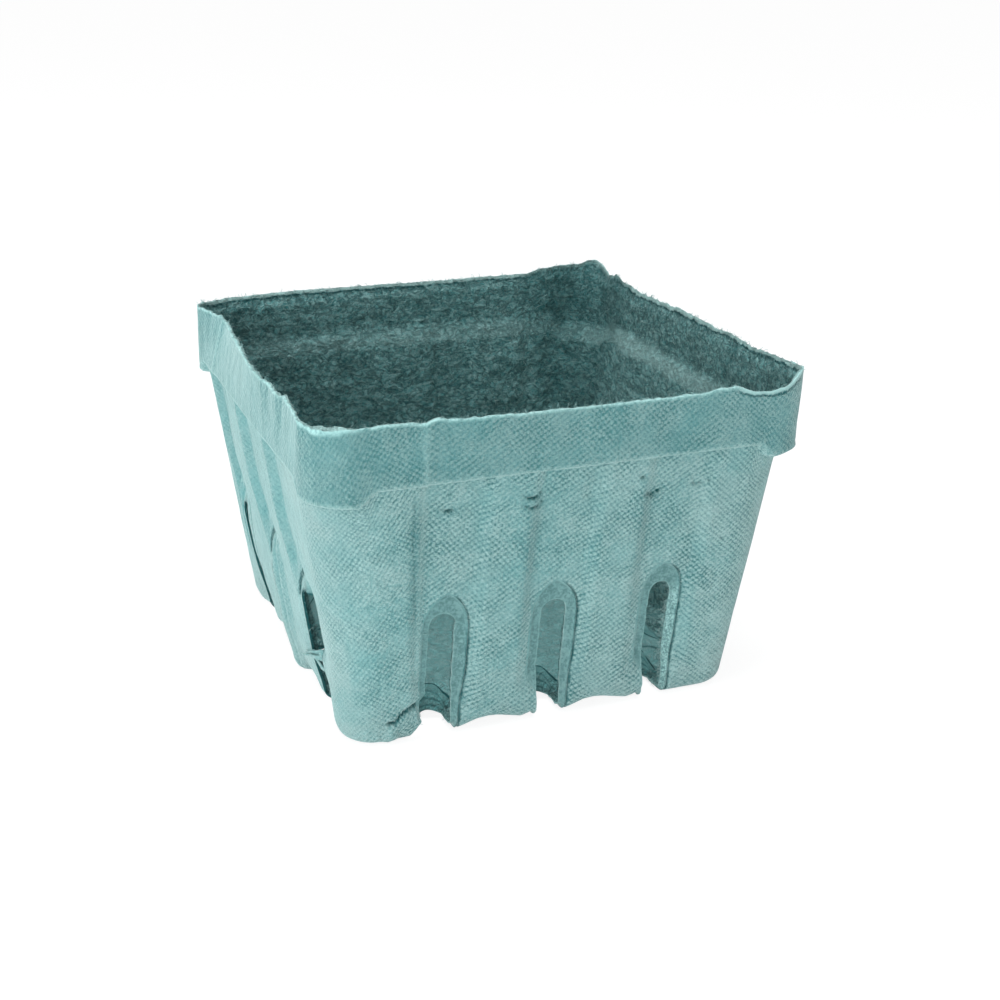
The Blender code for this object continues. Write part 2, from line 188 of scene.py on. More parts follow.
T_SPRING = float(run_at_height(SPRING_Z))
T_FLUTE_FOOT = float(run_at_height(FLUTE_FOOT))
T_BEND = float(RUN[np.argmax(SECTION_NORMALS[:, 1] < SECTION_NORMALS[0, 1] - TINY)])
T_LEG = float(RUN[np.argmax(SECTION_NORMALS[:, 0] < -0.02)])
T_SLOT_END = float(RUN[np.argmin(np.abs(SECTION[:, 0] - SLOT_TIP))]) - SLOT_WIDTH / 2
print("the section runs", round(T_END, 1), "mm from the collar to the edge of the floor")

# %% [markdown]
# ## One side, laid out flat
#
# A quarter of the sheet, from one corner's diagonal to the next, is laid out on a flat drawing board:
# `s` runs across it and `t` runs down it. On that board a vent is an easy outline. Cutting the vents
# with Boolean solids would leave long thin faces. A triangulation that is told about the outlines
# gives an even net instead, with points exactly on every edge.

# %% Lay out the net with its vents
S_FLAT, S_END = 29.5, 47.5
T_TOP, T_STEP = -14.2, -1.2
NET, LINE_STEP, ARC_STEPS = 0.66, 0.6, 10
SEAM_S = 31.5
ARCH_RADIUS = (RECESS_RISE ** 2 + (RECESS_WIDTH / 2) ** 2) / RECESS_WIDTH
CREASE_OUT, SLOT_SLACK = 0.22, 0.02
RECESS_INSETS = (-0.5, -CREASE_OUT, 0.0, RECESS_BEVEL)


def recess_line(inset):
    """Half of the recess outline, from its pointed head down to where it fades on the leg."""
    half = RECESS_WIDTH / 2 - inset
    centre = ARCH_RADIUS - RECESS_WIDTH / 2
    xs = np.linspace(0, half, 13)
    head = [(x, T_SPRING - np.sqrt(max((ARCH_RADIUS - inset) ** 2 - (centre + x) ** 2, 0))) for x in xs]
    sides = [(half, t) for t in np.arange(T_SPRING + 0.5, T_END - 2.6, LINE_STEP)]
    return head + sides


def slot_line():
    """Half of the slot outline, from the top of its round head down to its round tail."""
    half = SLOT_WIDTH / 2
    head = [(half * sin(a), T_SPRING - half * cos(a)) for a in np.linspace(0, pi / 2, ARC_STEPS)]
    sides = [(half, t) for t in np.arange(T_SPRING + 0.5, T_SLOT_END - 0.2, 0.5)]
    tail = [(half * cos(a), T_SLOT_END + half * sin(a)) for a in np.linspace(0, pi / 2, ARC_STEPS)]
    return head + sides + tail


def net_lines():
    """Every line that the net has to follow."""
    lines = []
    for vent in VENTS:
        for side in (-1, 1):
            for inset in RECESS_INSETS:
                lines.append([(vent + side * x, t) for x, t in recess_line(inset)])
            lines.append([(vent + side * x, t) for x, t in slot_line()])
    for seam in (-SEAM_S, SEAM_S):
        lines.append([(seam, t) for t in np.arange(T_TOP, T_END, LINE_STEP)] + [(seam, T_END)])
    for t in (T_STEP - 0.5, T_STEP, T_STEP + 0.6, 0.0):
        for cut in ((-S_END, -SEAM_S - NET), (-SEAM_S + NET, SEAM_S - NET), (SEAM_S + NET, S_END)):
            lines.append([(s, t) for s in np.linspace(*cut, max(2, int((cut[1] - cut[0]) / NET)))])
    return lines


def nearest_vent(s):
    """The number of the vent that is nearest to each place."""
    return np.abs(s - np.array(VENTS)[:, None]).argmin(axis=0)


def from_vent(s):
    """Distance from the middle of the nearest vent, with its sign."""
    return s - np.array(VENTS)[nearest_vent(s)]


def outside_slot(s, t):
    """Distance outside the slot outline, negative inside it."""
    return np.hypot(from_vent(s), t - np.clip(t, T_SPRING, T_SLOT_END)) - SLOT_WIDTH / 2


def lay_out():
    """The net: spots on the board, and triangles without the slots."""
    spots, edges = [], []
    for line in net_lines():
        edges += [(len(spots) + i, len(spots) + i + 1) for i in range(len(line) - 1)]
        spots += line
    fixed = np.array(spots)
    coarse = np.linspace(T_TOP + 1.6, T_END, int((T_END - T_TOP) / (NET * 0.87)))
    rows = np.concatenate([T_TOP + np.arange(5) * NET / 2, coarse])
    grid = []
    for number, t in enumerate(rows):
        shift = 0.5 * (number % 2) * (0 < number < len(rows) - 1)
        count = int(2 * S_END / (NET if t > T_TOP + 1.2 else NET / 2))
        middle = (np.arange(1, count) - shift) * 2 * S_END / count
        grid += [(s, t) for s in np.concatenate([[-S_END], middle - S_END, [S_END]])]
    grid = np.array(grid)
    near = np.array([np.min(np.abs(fixed - spot).max(axis=1)) < NET * 0.5 for spot in grid])
    across, down = grid.T
    border = (S_END - np.abs(across) < TINY) | (down < T_TOP + TINY) | (down > T_END - TINY)
    kept = grid[~near | border]
    spots = [Vector(spot) for spot in spots] + [Vector(spot) for spot in kept]
    cut = delaunay_2d_cdt(spots, edges, [], 0, 1e-5)
    board = np.array([tuple(spot) for spot in cut[0]])
    faces = np.array(cut[2])
    return board, faces[outside_slot(*board[faces].mean(axis=1).T) >= -SLOT_SLACK]


board, net = lay_out()
print("one side has", len(board), "points and", len(net), "triangles")

# %% [markdown]
# ## Wrapping the board round the basket
#
# Each spot of the board is carried to its place on the basket: across, by the way round a rounded
# square, and down, by the section table. The wall is doubled on the way, with the felt side one pulp
# thickness behind the screen side. A Solidify modifier would do that too, but the two sides differ:
# the collar's step is crisp outside and a soft sloping ledge inside.

# %% Go round a rounded square
def go_round(s, half, radius):
    """Place and outward direction on the front of a rounded square, seen from above."""
    straight = half - radius
    share = np.clip((np.abs(s) - S_FLAT) / (S_END - S_FLAT), 0, 1)
    flat = straight - S_FLAT
    way = share * (flat + radius * pi / 4)
    angle = np.clip(way - flat, 0, None) / radius
    x = np.where(np.abs(s) <= S_FLAT, np.abs(s), S_FLAT + np.minimum(way, flat)) + radius * np.sin(angle)
    y = -straight - radius * np.cos(angle)
    sign = np.where(s < 0, -1.0, 1.0)
    left_over = flat + radius * pi / 4 - way
    return x * sign, y, np.sin(angle) * sign, -np.cos(angle), left_over * sign


def corner_radius(half):
    """The outer corner's radius where the section has a given half width."""
    upper = WALL_BASE_CORNER + (WALL_TOP_CORNER - WALL_BASE_CORNER) * (half - BASE_HALF) / WALL_SPREAD
    lower = FLOOR_CORNER + (WALL_BASE_CORNER - FLOOR_CORNER) * (half - FLOOR_HALF) / (BASE_HALF - FLOOR_HALF)
    return np.where(half > BASE_HALF, upper, lower)


print("the foot's bend starts", round(T_BEND, 1), "mm down and its leg", round(T_LEG, 1), "mm down")

# %% [markdown]
# ## The rim that came off the mould
#
# A moulded edge is never level. The deckle, the feathered edge of the sheet, stands higher at the
# corners, dips between them, and one side of this rim has been pressed in by a thumb. The heights are
# kept as a short table round the rim, read at the places where the photograph shows a change.

# %% Measure the rim
RIM_TABLES = [
    # across the side, height of the edge, how far the felt lip stands above the screen lip
    [(-47.5, 74.8, 1.3), (-45.2, 75.3, 1.5), (-44.4, 75.1, 1.1), (-43.6, 74.7, 0.4), (-41.5, 74.5, 0.1),
     (-38, 74.7, 0.1), (-34, 74.7, 0.1), (-31.5, 74.3, 0.1), (-29.5, 75.0, 0.1), (-27, 74.4, 0.0),
     (-13, 74.1, 0.0), (10, 74.1, 0.0), (27, 74.2, 0.0), (31, 74.8, 0.0), (34, 75.0, 0.0),
     (37, 73.5, -0.3), (40, 73.2, -0.5), (43, 74.0, -0.5), (45.5, 75.6, -0.2), (47.5, 76.2, 0.0)],
    [(-47.5, 76.2, 0.0), (-43, 75.4, 0.1), (-38, 75.1, 0.3), (-33, 74.9, 0.4), (-30, 74.2, 0.2),
     (-21, 74.7, 0.3), (-16, 75.1, 0.4), (-12, 74.4, 0.2), (-2, 74.4, 0.0), (8, 74.4, 0.0),
     (18, 73.9, 0.1), (29, 73.4, 0.1), (35, 74.3, 0.3), (39, 75.2, 0.3), (42, 73.9, 0.0), (45, 75.2, 0.0),
     (47.5, 76.2, 0.2)],
    [(-47.5, 76.4, 0.2), (-46, 76.4, 0.2), (-44.5, 75.7, 0.1), (-40, 75.7, 0.1), (-36, 75.2, 0.1),
     (-33.5, 74.1, 0.0), (-21, 74.1, 0.0), (-13, 74.0, 0.0), (0, 74.0, 0.0), (15, 74.1, 0.0),
     (27, 74.1, 0.0), (36, 73.8, 0.0), (42, 73.5, 0.0), (45, 73.3, 0.0), (47.5, 73.8, 0.1)],
    [(-47.5, 73.8, 0.1), (-43, 74.4, 0.1), (-38, 74.5, 0.1), (-25, 74.3, 0.0), (0, 74.3, 0.0),
     (20, 74.5, 0.2), (30, 74.7, 0.3), (36, 74.5, 0.2), (40, 75.0, 0.3), (44, 74.7, 0.4),
     (45.4, 74.7, 0.5), (46.1, 74.7, 1.2), (47.5, 74.8, 1.3)]
]
FLUTE_SHARES = (1.25, 1.0, 1.0, 1.5)
RAG_SHARES = (0.45, 0.8, 0.3, 0.9)
COLLAR_TAPER_SHARES = (0.45, 0.45, 0.45, 0.2)
FAR_PEAK, FAR_PUSH = 8.0, 1.6
JAMB_PRESS = [
    # vent of the left side, how far its jamb is pressed in high up and low down, how far that reaches
    (-25.0, -0.4, 0.1, 8.5), (0.0, -1.8, -1.8, 8.5), (25.0, 2.5, 0.6, 13.0),
]
LEFT_RECESS_SHARES = (0.1, 0.05, 0.15)
THUMB_PRESS = [(-46, 0.5), (-39, 2.5), (-33, 3.5), (-29, 3.7), (-21, 2.9), (-7, 1.6), (5, 0.6), (12, 0.3),
               (18, 0.2), (22, 1.0), (28, 0.9), (31, 1.7), (38, 1.3), (43, 0.6), (47, 0.0)]


def round_rim(side, s, column):
    """One column of the rim tables at each place round the rim."""
    places = [number + (row[0] / S_END + 1) / 2 for number, table in enumerate(RIM_TABLES) for row in table]
    values = [row[column] for table in RIM_TABLES for row in table]
    return np.interp(side + (s / S_END + 1) / 2, places, values)


rim_heights = [row[1] for table in RIM_TABLES for row in table]
print("the rim stands between", min(rim_heights), "and", max(rim_heights))

# %% [markdown]
# ## Flutes, recesses and arches
#
# Shallow flutes stiffen the wall above each vent. Each vent sits in a smooth recess with a pointed
# head, where a solid block stood in the screen, and a deep crease shows along one edge of it. Between
# the vents the foot is arched. All of these are depths that are taken from the sheet along its own
# normal, so that both of its sides follow.

# %% Work out the depths
def outside_recess(s, t):
    """Distance outside the recess outline, negative inside it."""
    across = np.abs(from_vent(s)) + ARCH_RADIUS - RECESS_WIDTH / 2
    return np.hypot(across, np.clip(T_SPRING - t, 0, None)) - ARCH_RADIUS


def recess_share(side, s, t):
    """How much of the recess shows: its left edge runs out in front, and the left side is worn."""
    if side == LEFT:
        return np.array(LEFT_RECESS_SHARES)[nearest_vent(s)]
    if side == FRONT:
        return np.where(from_vent(s) > 0, 1.0, ease((T_BEND - 1 - t) / 9))
    return np.ones(len(s))


def recess_depth(s, t):
    """How deep the recess is cut."""
    fade = np.clip((T_END - 2.5 - t) / (T_END - 2.5 - T_LEG), 0, 1)
    return RECESS_DEPTH * np.clip(-outside_recess(s, t) / RECESS_BEVEL, 0, 1) * fade


def flute_depth(s, t):
    """How deep the flute is above and beside its vent: flat along its middle, sloping at its sides."""
    slope = (FLUTE_WIDTH - RECESS_WIDTH) / 2
    fade = ease((T_BEND - t) / (T_BEND - T_FLUTE_FOOT)) * np.where(t < 0, 0, 1)
    return FLUTE_DEPTH * ease((FLUTE_WIDTH / 2 - np.abs(from_vent(s))) / slope) * fade


ARCH_PLACES = [0.0, 0.08, 0.2, 0.35, 0.5, 0.65, 0.8, 0.9, 1.0]
ARCH_FRONT_SHARES = [0.0, 0.3, 0.85, 1.0, 0.85, 0.5, 0.06, 0.35, 0.5]
ARCH_PLAIN_SHARES = [0.0, 0.2, 0.65, 0.95, 1.0, 0.95, 0.65, 0.3, 0.0]


def arch_lift(side, s):
    """How far the foot is arched up between two vents."""
    lift = np.zeros(len(s))
    shares = ARCH_FRONT_SHARES if side == FRONT else ARCH_PLAIN_SHARES
    for left, right in zip(VENTS, VENTS[1:]):
        start = left + RECESS_WIDTH / 2 + 0.3
        end = right - (SLOT_WIDTH / 2 if side == FRONT else RECESS_WIDTH / 2 + 0.3)
        place = (s - start) / (end - start)
        inside = (place > 0) & (place <= 1.0001)
        lift = np.where(inside, ARCH_RISE * np.interp(place, ARCH_PLACES, shares), lift)
    return lift


print("deepest flute and recess", float(flute_depth(np.zeros(1), np.ones(1))[0]), RECESS_DEPTH)

# %% [markdown]
# ## Marks of forming and use
#
# Up close the sheet is full of small events: a ridge where two screens met, dimples under the collar,
# a torn piece of foot. Each is a small push along the sheet's normal at a measured place. They could
# be painted in the bump map alone, but a push that is really there also shows in the outline. The
# furrow, the dents, the tear and the left vents' heads also get painted shade in their grooves.

# %% Collect the marks
DIMPLES = [
    # across, height, half width, depth
    (-26.1, 54.0, 1.5, 0.7), (-8.5, 55.1, 1.9, 0.9), (-7.9, 52.9, 2.4, 0.65), (19.2, 51.9, 1.9, 1.0),
    (29.7, 52.6, 1.3, 0.7), (32.3, 53.6, 0.8, 0.7), (15.9, 56.8, 0.8, 0.6), (4.4, 53.4, 0.7, 0.4),
    (37.4, 39.4, 0.8, 0.5), (-21.5, 53.0, 0.8, 0.35),
]
TEAR = [(-37.6, 4.9), (-35.3, 5.6), (-33.4, 7.4), (-32.1, 7.7), (-29.0, 8.4)]
FLAP_EDGE = [(0.0, -32.3), (1.7, -31.7), (4.4, -29.8), (5.3, -30.3), (8.5, -30.3)]
RIDGE_WAVE, RIDGE_FOOT, RIDGE_HEIGHT, RIDGE_WIDTH = 11.0, 13, 0.28, 0.45
FURROW_OUT, FURROW_DEPTH, FURROW_WIDTH = 1.5, 0.30, 0.8
CREASE_DEPTH, CREASE_WIDTH = 0.35, 0.16
DIMPLE_DEPTH, DIMPLE_WIDTH, DIMPLE_BOW = 0.8, 0.38, 0.3
FLAP_LIFT, FLAP_HEIGHT, FLAP_END, TEAR_DEPTH = 0.55, 6.5, -28.6, 0.8
HOOK_INSET, HOOK_WIDTH, HOOK_DEPTH = 0.5, 0.7, 0.5


def crease_share(s, t):
    """Where the crease beside a recess shows: all of it on the right, hardly any on the left."""
    right = ease((from_vent(s) - 0.8) / 2.6)
    return (0.12 + 0.88 * right) * ease((T_LEG - t) / 3)


def seam_marks(s, z):
    """The raised seam of the wire cloth, and the furrow to its left, with painted shade in the furrow."""
    ridge_s = 0.5 * np.sin(z / RIDGE_WAVE) - SEAM_S
    fade = ease((z - RIDGE_FOOT) / 6) * np.where(s < 0, 1, 0)
    furrow_fade = fade * (z < COLLAR_FOOT - 0.4)
    push = RIDGE_HEIGHT * bell(s, ridge_s, RIDGE_WIDTH) * fade
    push -= FURROW_DEPTH * bell(s, ridge_s - FURROW_OUT, FURROW_WIDTH) * furrow_fade
    return push, 0.35 * bell(s, ridge_s - 1.3, 0.6) * furrow_fade * ease((64 - z) / 9) * ease((z - 24) / 12)


def dimple_marks(x, z):
    """Short curved dents in the wall below the collar, with painted shade in their grooves."""
    push, dark = np.zeros(len(x)), np.zeros(len(x))
    for mark_x, mark_z, size, depth in DIMPLES:
        off_x, off_z = (x - mark_x) / size, z - mark_z
        bow = off_z - DIMPLE_BOW * size * off_x ** 2
        reach = ease(1.6 - np.abs(off_x)) * depth
        groove = bell(bow, 0, DIMPLE_WIDTH) * reach
        push += 0.35 * bell(bow, -0.8, 0.5) * reach - 0.5 * bell(bow, 1.0, 0.9) * reach
        push -= DIMPLE_DEPTH * groove
        dark += 0.9 * groove * bell(bow, 0, 0.4)
    return push, dark


def tear_marks(x, z):
    """The torn line beside the near foot, the crumpled flap under it, and painted shade along the tear."""
    line = np.array(TEAR)
    flat = x * 0
    waver = noise(np.column_stack([x, z, flat]), 1.3, 15)
    under = np.interp(x, line[:, 0], line[:, 1]) + 0.35 * waver - z
    span = ease((x - line[0, 0] + 0.6) / 1.6) * ease((FLAP_END - x) / 0.6)
    crumple = 0.35 * noise(np.column_stack([x, z * 0.6, flat]), 1.6, 18)
    push = (FLAP_LIFT + crumple) * ease(under / 0.5) * ease((FLAP_HEIGHT - under) / 4) * span
    push -= TEAR_DEPTH * bell(under, -0.3, 0.4) * span
    width = 0.20 + 0.22 * (noise(np.column_stack([x, flat, flat]), 1.8, 19) > -0.1)
    return push, 0.7 * bell(under, -0.05, width) * span


def hook_marks(s, t):
    """The pressed-in inner edge of the vents' heads on the left side, with painted shade along it."""
    inner = bell(outside_recess(s, t), -HOOK_INSET, HOOK_WIDTH) * ease(0.5 - from_vent(s))
    hook = inner * ease((T_SPRING + 1 - t) / 2)
    return -HOOK_DEPTH * hook, hook * np.interp(s, (-20, -10), (0.0, 1.3))


def marks(side, x, s, t, z):
    """Push along the outward normal, and the painted shade in the creases, of the marks on one side."""
    push, dark = seam_marks(s, z)
    push -= CREASE_DEPTH * bell(outside_recess(s, t), CREASE_OUT, CREASE_WIDTH) * crease_share(s, t)
    more = []
    if side == FRONT:
        more = [dimple_marks(x, z), tear_marks(x, z)]
    if side == LEFT:
        more = [hook_marks(s, t)]
    for more_push, more_dark in more:
        push += more_push
        dark += more_dark
    return push, dark


print("dimples under the collar:", len(DIMPLES))

# %% [markdown]
# ## Both sides of the sheet
#
# Now the board is wrapped. The screen side follows the collar's face, steps in under it, and runs
# down the wall. The felt side lies one pulp thickness behind. Lumps come last: almost none on the
# screen side, and a rolling, lumpy felt on the inside, where nothing pressed the pulp flat.

# %% Wrap the sheet
def by_side(side, s, shares):
    """A share given for each side, blended over the corners between them."""
    turns = range(-1, 5)
    places = [turn + place for turn in turns for place in (0.12, 0.88)]
    return np.interp(side + (s / S_END + 1) / 2, places, np.repeat([shares[turn % 4] for turn in turns], 2))


def by_far_corner(side, s):
    """Whether each place lies on the half of a side that ends at the far corner."""
    return ((s > 0) == (side == RIGHT)) & (side in (RIGHT, BACK))


def collar_lines(side, s, t, drop):
    """Half width, radius and height of the collar's two faces."""
    face = np.clip((t - T_TOP) / (T_STEP - T_TOP), 0, 1)
    step = np.clip((t - T_STEP) / -T_STEP, 0, 1)
    foot = COLLAR_FOOT - drop
    top, lip = round_rim(side, s, 1), round_rim(side, s, 2)
    screen_top, felt_top = top - np.clip(lip, 0, None), top + np.clip(lip, None, 0)
    z = screen_top + (foot - screen_top) * face
    edge = 0.45 * np.clip(1 - (z - foot) / 0.9, 0, 1) ** 2
    wall_half = BASE_HALF + LEAN * foot
    outer = RIM_HALF - edge - by_side(side, s, COLLAR_TAPER_SHARES) * face
    half = outer + (wall_half - outer) * step
    half += 0.22 * hump(z, foot + 0.75, 0.7) * (step == 0)
    peak = FAR_PEAK * ease(1 - (t - T_TOP) / 10) * by_far_corner(side, s)
    radius = COLLAR_CORNER - peak + (corner_radius(wall_half) - COLLAR_CORNER + peak) * step
    return half, radius, z, felt_top


FRONT_SHIFTS = [
    # the vent; how far right its four upright edges stand; how far its right edge leans in at the
    # foot; how high it is
    (-25.0, (0.0, -0.5, -0.5, -0.1), 1.5, 0.4),
    (0.0, (0.2, 0.5, 0.3, 0.0), 0.9, -0.4),
    (25.0, (0.5, 0.7, -0.4, -0.9), 0.7, 0.0),
]


def front_shift(s, t, z):
    """How far the vents of the front side stand to the right of their even places, and how far up."""
    right, up = -0.8 * hump(s, 0, 40) * ease((60 - z) / 20), np.zeros(len(s))
    for vent, edges, lean_in, rise in FRONT_SHIFTS:
        places = [vent - 9, vent - RECESS_WIDTH / 2, vent - SLOT_WIDTH / 2, vent + SLOT_WIDTH / 2,
                  vent + RECESS_WIDTH / 2, vent + 9]
        right += np.interp(s, places, (0,) + edges + (0,)) * ease((t - T_SPRING + 7) / 5)
        right -= lean_in * np.interp(s, places[3:], (0, 1, 0)) * ease((16 - z) / 12)
        right += 0.8 * np.interp(s, places[:3], (0, 1, 0)) * ease((12 - z) / 10)
        up += rise * hump(s, vent, 9) * hump(t, T_SPRING - 3, 12)
    flap = np.array(FLAP_EDGE)
    torn = np.interp(z, np.append(flap[:, 0], 10.0), np.append(flap[:, 1], -28.75)) + 28.75
    right += torn * np.interp(s, (-37, -30.3, -28, -25.5, -24), (0, 0.85, 1, 1, 0)) * ease((T_LEG - t) / 2)
    return right, up


FAR_LEFT_MOVE, NEAR_LEFT_MOVE, NEAR_RIGHT_MOVE, TUCKED_MOVE = 0.3, 0.5, 0.4, 0.9
T_LEDGE, T_LEDGE_FOOT, LEDGE_RISE, LEFT_ARCH_SHARE = -2.4, 3.0, 2.0, 1.9
THUMB_FOOT, THUMB_RISE, THUMB_POWER, PULL_SHARE = 57.5, 16.5, 1.3, 0.7
LEFT_FLUTE_SHIFT, LEFT_LEAN = 6.0, 5.0
RIM_FEATHER_SHARE, SLOT_FEATHER_SHARE, SLOT_WAVER = 0.66, 0.58, 0.16


def settle(points):
    """The set that the basket took in use: the lower walls stand a little off square."""
    x, y, z = points.T
    far_left = ease((-x - 25) / 10) * ease((y - 16) / 12) * ease((61 - z) / 4)
    near_left = ease((-x - 32) / 8) * ease((-y - 30) / 8) * ease((14 - z) / 12)
    near_right = ease((x - 28) / 10) * ease((-y - 20) / 12) * ease((61 - z) / 8)
    tucked = ease((-x - 38) / 5) * ease((34 - np.abs(y)) / 4) * ease((13 - z) / 11)
    moved = points.copy()
    moved[:, 0] += FAR_LEFT_MOVE * far_left - NEAR_LEFT_MOVE * near_left
    moved[:, 0] += TUCKED_MOVE * tucked - NEAR_RIGHT_MOVE * near_right
    return moved


def felt_ledge(t, drop, felt_top):
    """The felt side behind the collar, and its half width, height and radius down over the ledge."""
    ledge_top = COLLAR_FOOT + LEDGE_RISE - drop * 0.9
    inner_z = felt_top + (ledge_top - felt_top) * np.clip((t - T_TOP) / (T_LEDGE - T_TOP), 0, 1)
    lip = ease((1.3 - (felt_top - inner_z)) / 0.5)
    pit = hump(felt_top - inner_z, 1.9, 0.9)
    inner_half = RIM_HALF - PULP - 0.35 * lip + 0.2 * pit
    slope = ease((t - T_LEDGE) / (T_LEDGE_FOOT - T_LEDGE))
    end_half = BASE_HALF + LEAN * (COLLAR_FOOT - drop - 3) - PULP
    end_z = along(np.full(len(t), T_LEDGE_FOOT), 1) - drop * 0.75
    half = inner_half + (end_half - inner_half) * slope
    z = inner_z + (np.minimum(end_z, ledge_top) - inner_z) * slope
    wall_radius = corner_radius(end_half + PULP) - PULP
    return inner_z, half, z, COLLAR_CORNER - PULP + (wall_radius - COLLAR_CORNER + PULP) * slope


def left_press(x, s, t, z, normal):
    """How far the left side was pushed in, by a thumb at the rim and at the jambs of its vents."""
    moved = np.zeros_like(normal)
    moved[:, 1] = np.interp(x, *np.transpose(THUMB_PRESS))
    moved[:, 1] *= np.clip((z - THUMB_FOOT) / THUMB_RISE, 0, 1) ** THUMB_POWER
    for vent, high_press, low_press, reach in JAMB_PRESS:
        press = low_press + (high_press - low_press) * ease((z - 13) / 6)
        bent = ease((s - vent - 1) / 2) * ease((vent + reach - s) / (reach - 3.5))
        moved -= normal * (press * bent * ease((t - T_SPRING + 10) / 7))[:, None]
    return moved


def wrap(side):
    """The screen side and felt side of one quarter, with what the finish needs to know."""
    s, t = board[:, 0].copy(), board[:, 1].copy()
    on_board = np.column_stack([s, t, np.full(len(s), side * 31.0)])
    near_slot = np.exp(-np.clip(np.abs(outside_recess(s, t) + 2.3) - 0.4, 0, None) / 0.5)
    s += SLOT_WAVER * noise(on_board, 1.1, 3) * near_slot * (t > T_SPRING - 5)
    lobe = ease((np.abs(s) - LOBE_START) / LOBE_RAMP)
    drop = LOBE_DROP * lobe
    none = np.zeros(len(s))
    right, up = front_shift(s, t, along(t, 1)) if side == FRONT else (none, none)
    half, z = along(t - up, 0), along(t - up, 1) - drop * np.clip(1 - t / 12, 0, 1)
    half = np.where(z > 10, BASE_HALF + LEAN * z, half)
    normal_r, normal_z = along(t, 2), along(t, 3)
    radius = corner_radius(half)
    felt_half, felt_z = half - PULP * normal_r, z - PULP * normal_z
    felt_radius = np.clip(felt_half - (half - radius), 0.6, None)

    collar_half, collar_radius, collar_z, felt_top = collar_lines(side, s, t, drop)
    above = t < 0
    half, z = np.where(above, collar_half, half), np.where(above, collar_z, z)
    radius = np.where(above, collar_radius, radius)
    inner_z, upper_half, upper_z, upper_radius = felt_ledge(t, drop, felt_top)
    upper = t < T_LEDGE_FOOT
    felt_half, felt_z = np.where(upper, upper_half, felt_half), np.where(upper, upper_z, felt_z)
    felt_radius = np.where(upper, upper_radius, felt_radius)

    x, y, nx, ny, left_over = go_round(s, half, radius)
    felt_x, felt_y, _, _, _ = go_round(s, felt_half, felt_radius)
    tilt = np.clip(np.where(above, (t - T_STEP + 0.6) / 0.6, 0), 0, 1) * (t < 0)
    radial = np.where(above, 1 - 0.6 * tilt, normal_r)
    upward = np.where(above, -0.8 * tilt, normal_z)
    normal = np.column_stack([nx * radial, ny * radial, upward])
    lift = arch_lift(side, s) * np.clip(1 - z / FLOOR_RISE, 0, 1) * (LEFT_ARCH_SHARE if side == LEFT else 1.0)
    screen = np.column_stack([x, y, z + lift])
    felt = np.column_stack([felt_x, felt_y, felt_z + lift])

    flute = flute_depth(s, t) * FLUTE_SHARES[side]
    if side == LEFT:
        flute = flute_depth(s + LEFT_FLUTE_SHIFT * ease((z - 30) / 14), t) * FLUTE_SHARES[side]
        flute *= ease((z - 25) / 12)
        right = -LEFT_LEAN * hump(s, -25, 13) * ease((z - 6) / 18) * ease((t - 4) / 8)
    depth = flute + recess_depth(s, t) * recess_share(side, s, t)
    push, dark = marks(side, x, s, t, z)
    screen += normal * (push - depth)[:, None]
    felt += normal * (push * 0.6 * (push > 0.3) - depth)[:, None]
    felt += (screen - felt) * (SLOT_FEATHER_SHARE * ease(1 - outside_slot(s, t) / 2.0))[:, None]
    feather = RIM_FEATHER_SHARE * ease(1 - (felt_top - inner_z) / 3.2) * (t < T_STEP)
    felt[:, :2] += (screen - felt)[:, :2] * feather[:, None]
    peak = FAR_PUSH * ease((np.abs(s) - 40) / 7) * ease(1 - (t - T_TOP) / 7) * by_far_corner(side, s)
    moved = PULL_SHARE * np.column_stack([np.sign(s) * peak, -peak, 0 * peak])
    if side == LEFT:
        moved += left_press(x, s, t, z, normal)
    screen += moved
    felt += moved
    screen[:, 0] += right
    felt[:, 0] += right
    spin = np.array(Matrix.Rotation(pi / 2 * side, 3, "Z"))
    return settle(screen @ spin.T), settle(felt @ spin.T), normal @ spin.T, dark, left_over, z


TALL, LYING_ROLLS = (1, 1, 4), (1.5, 1.5, 0.9)
# the unevenness of each side and of its deckle: strength, size, seed and stretch of each layer of noise
SCREEN_ROLLS = [(0.16, 15, 5), (0.06, 3.6, 6)]
FELT_ROLLS = [(0.20, 9, 7), (0.30, 3.4, 8, LYING_ROLLS), (0.13, 1.5, 9)]
SCREEN_RAG = [(0.28, 2.6, 11, TALL), (0.22, 1.1, 12, TALL), (0.22, 0.5, 14, TALL)]
FELT_RAG = [(0.35, 1.3, 13, TALL), (0.2, 0.6, 16, TALL)]


def lumps(side, screen, felt, normal, t):
    """Add the unevenness of both sides."""
    screen = screen + normal * layered(screen, SCREEN_ROLLS)[:, None]
    calm = np.where(t > T_SPRING, 0.55, 1.0) * (1 - 0.7 * ease(1 - outside_slot(board[:, 0], t) / 2.0))
    calm *= 0.35 + 0.65 * ease((t - T_TOP) / 3)
    felt = felt - normal * (layered(felt, FELT_ROLLS) * calm)[:, None]
    deckle = ease(1 - (t - T_TOP) / 1.6) * by_side(side, board[:, 0], RAG_SHARES)
    rag = layered(screen, SCREEN_RAG)
    screen[:, 2] += rag * deckle
    felt[:, 2] += (rag + layered(felt, FELT_RAG)) * deckle
    return screen, felt


sides = []
for side in range(4):
    screen, felt, normal, dark, left_over, flat_z = wrap(side)
    screen, felt = lumps(side, screen, felt, normal, board[:, 1])
    sides.append({"screen": screen, "felt": felt, "dark": dark, "left": left_over, "z": flat_z,
                  "shown": recess_share(side, *board.T)})
tops = [made["screen"][:, 2].max() for made in sides]
print("wrapped", len(sides), "sides; the rim's highest point is", round(max(tops), 1))

# %% [markdown]
# ## One continuous shell
#
# The four quarters meet on the corner diagonals, where their points coincide and are welded. The floor
# closes the middle with a net of its own. Then every free edge, round the rim and round the slots,
# gets a strip with a ragged middle line, because torn pulp has no sharp edge.

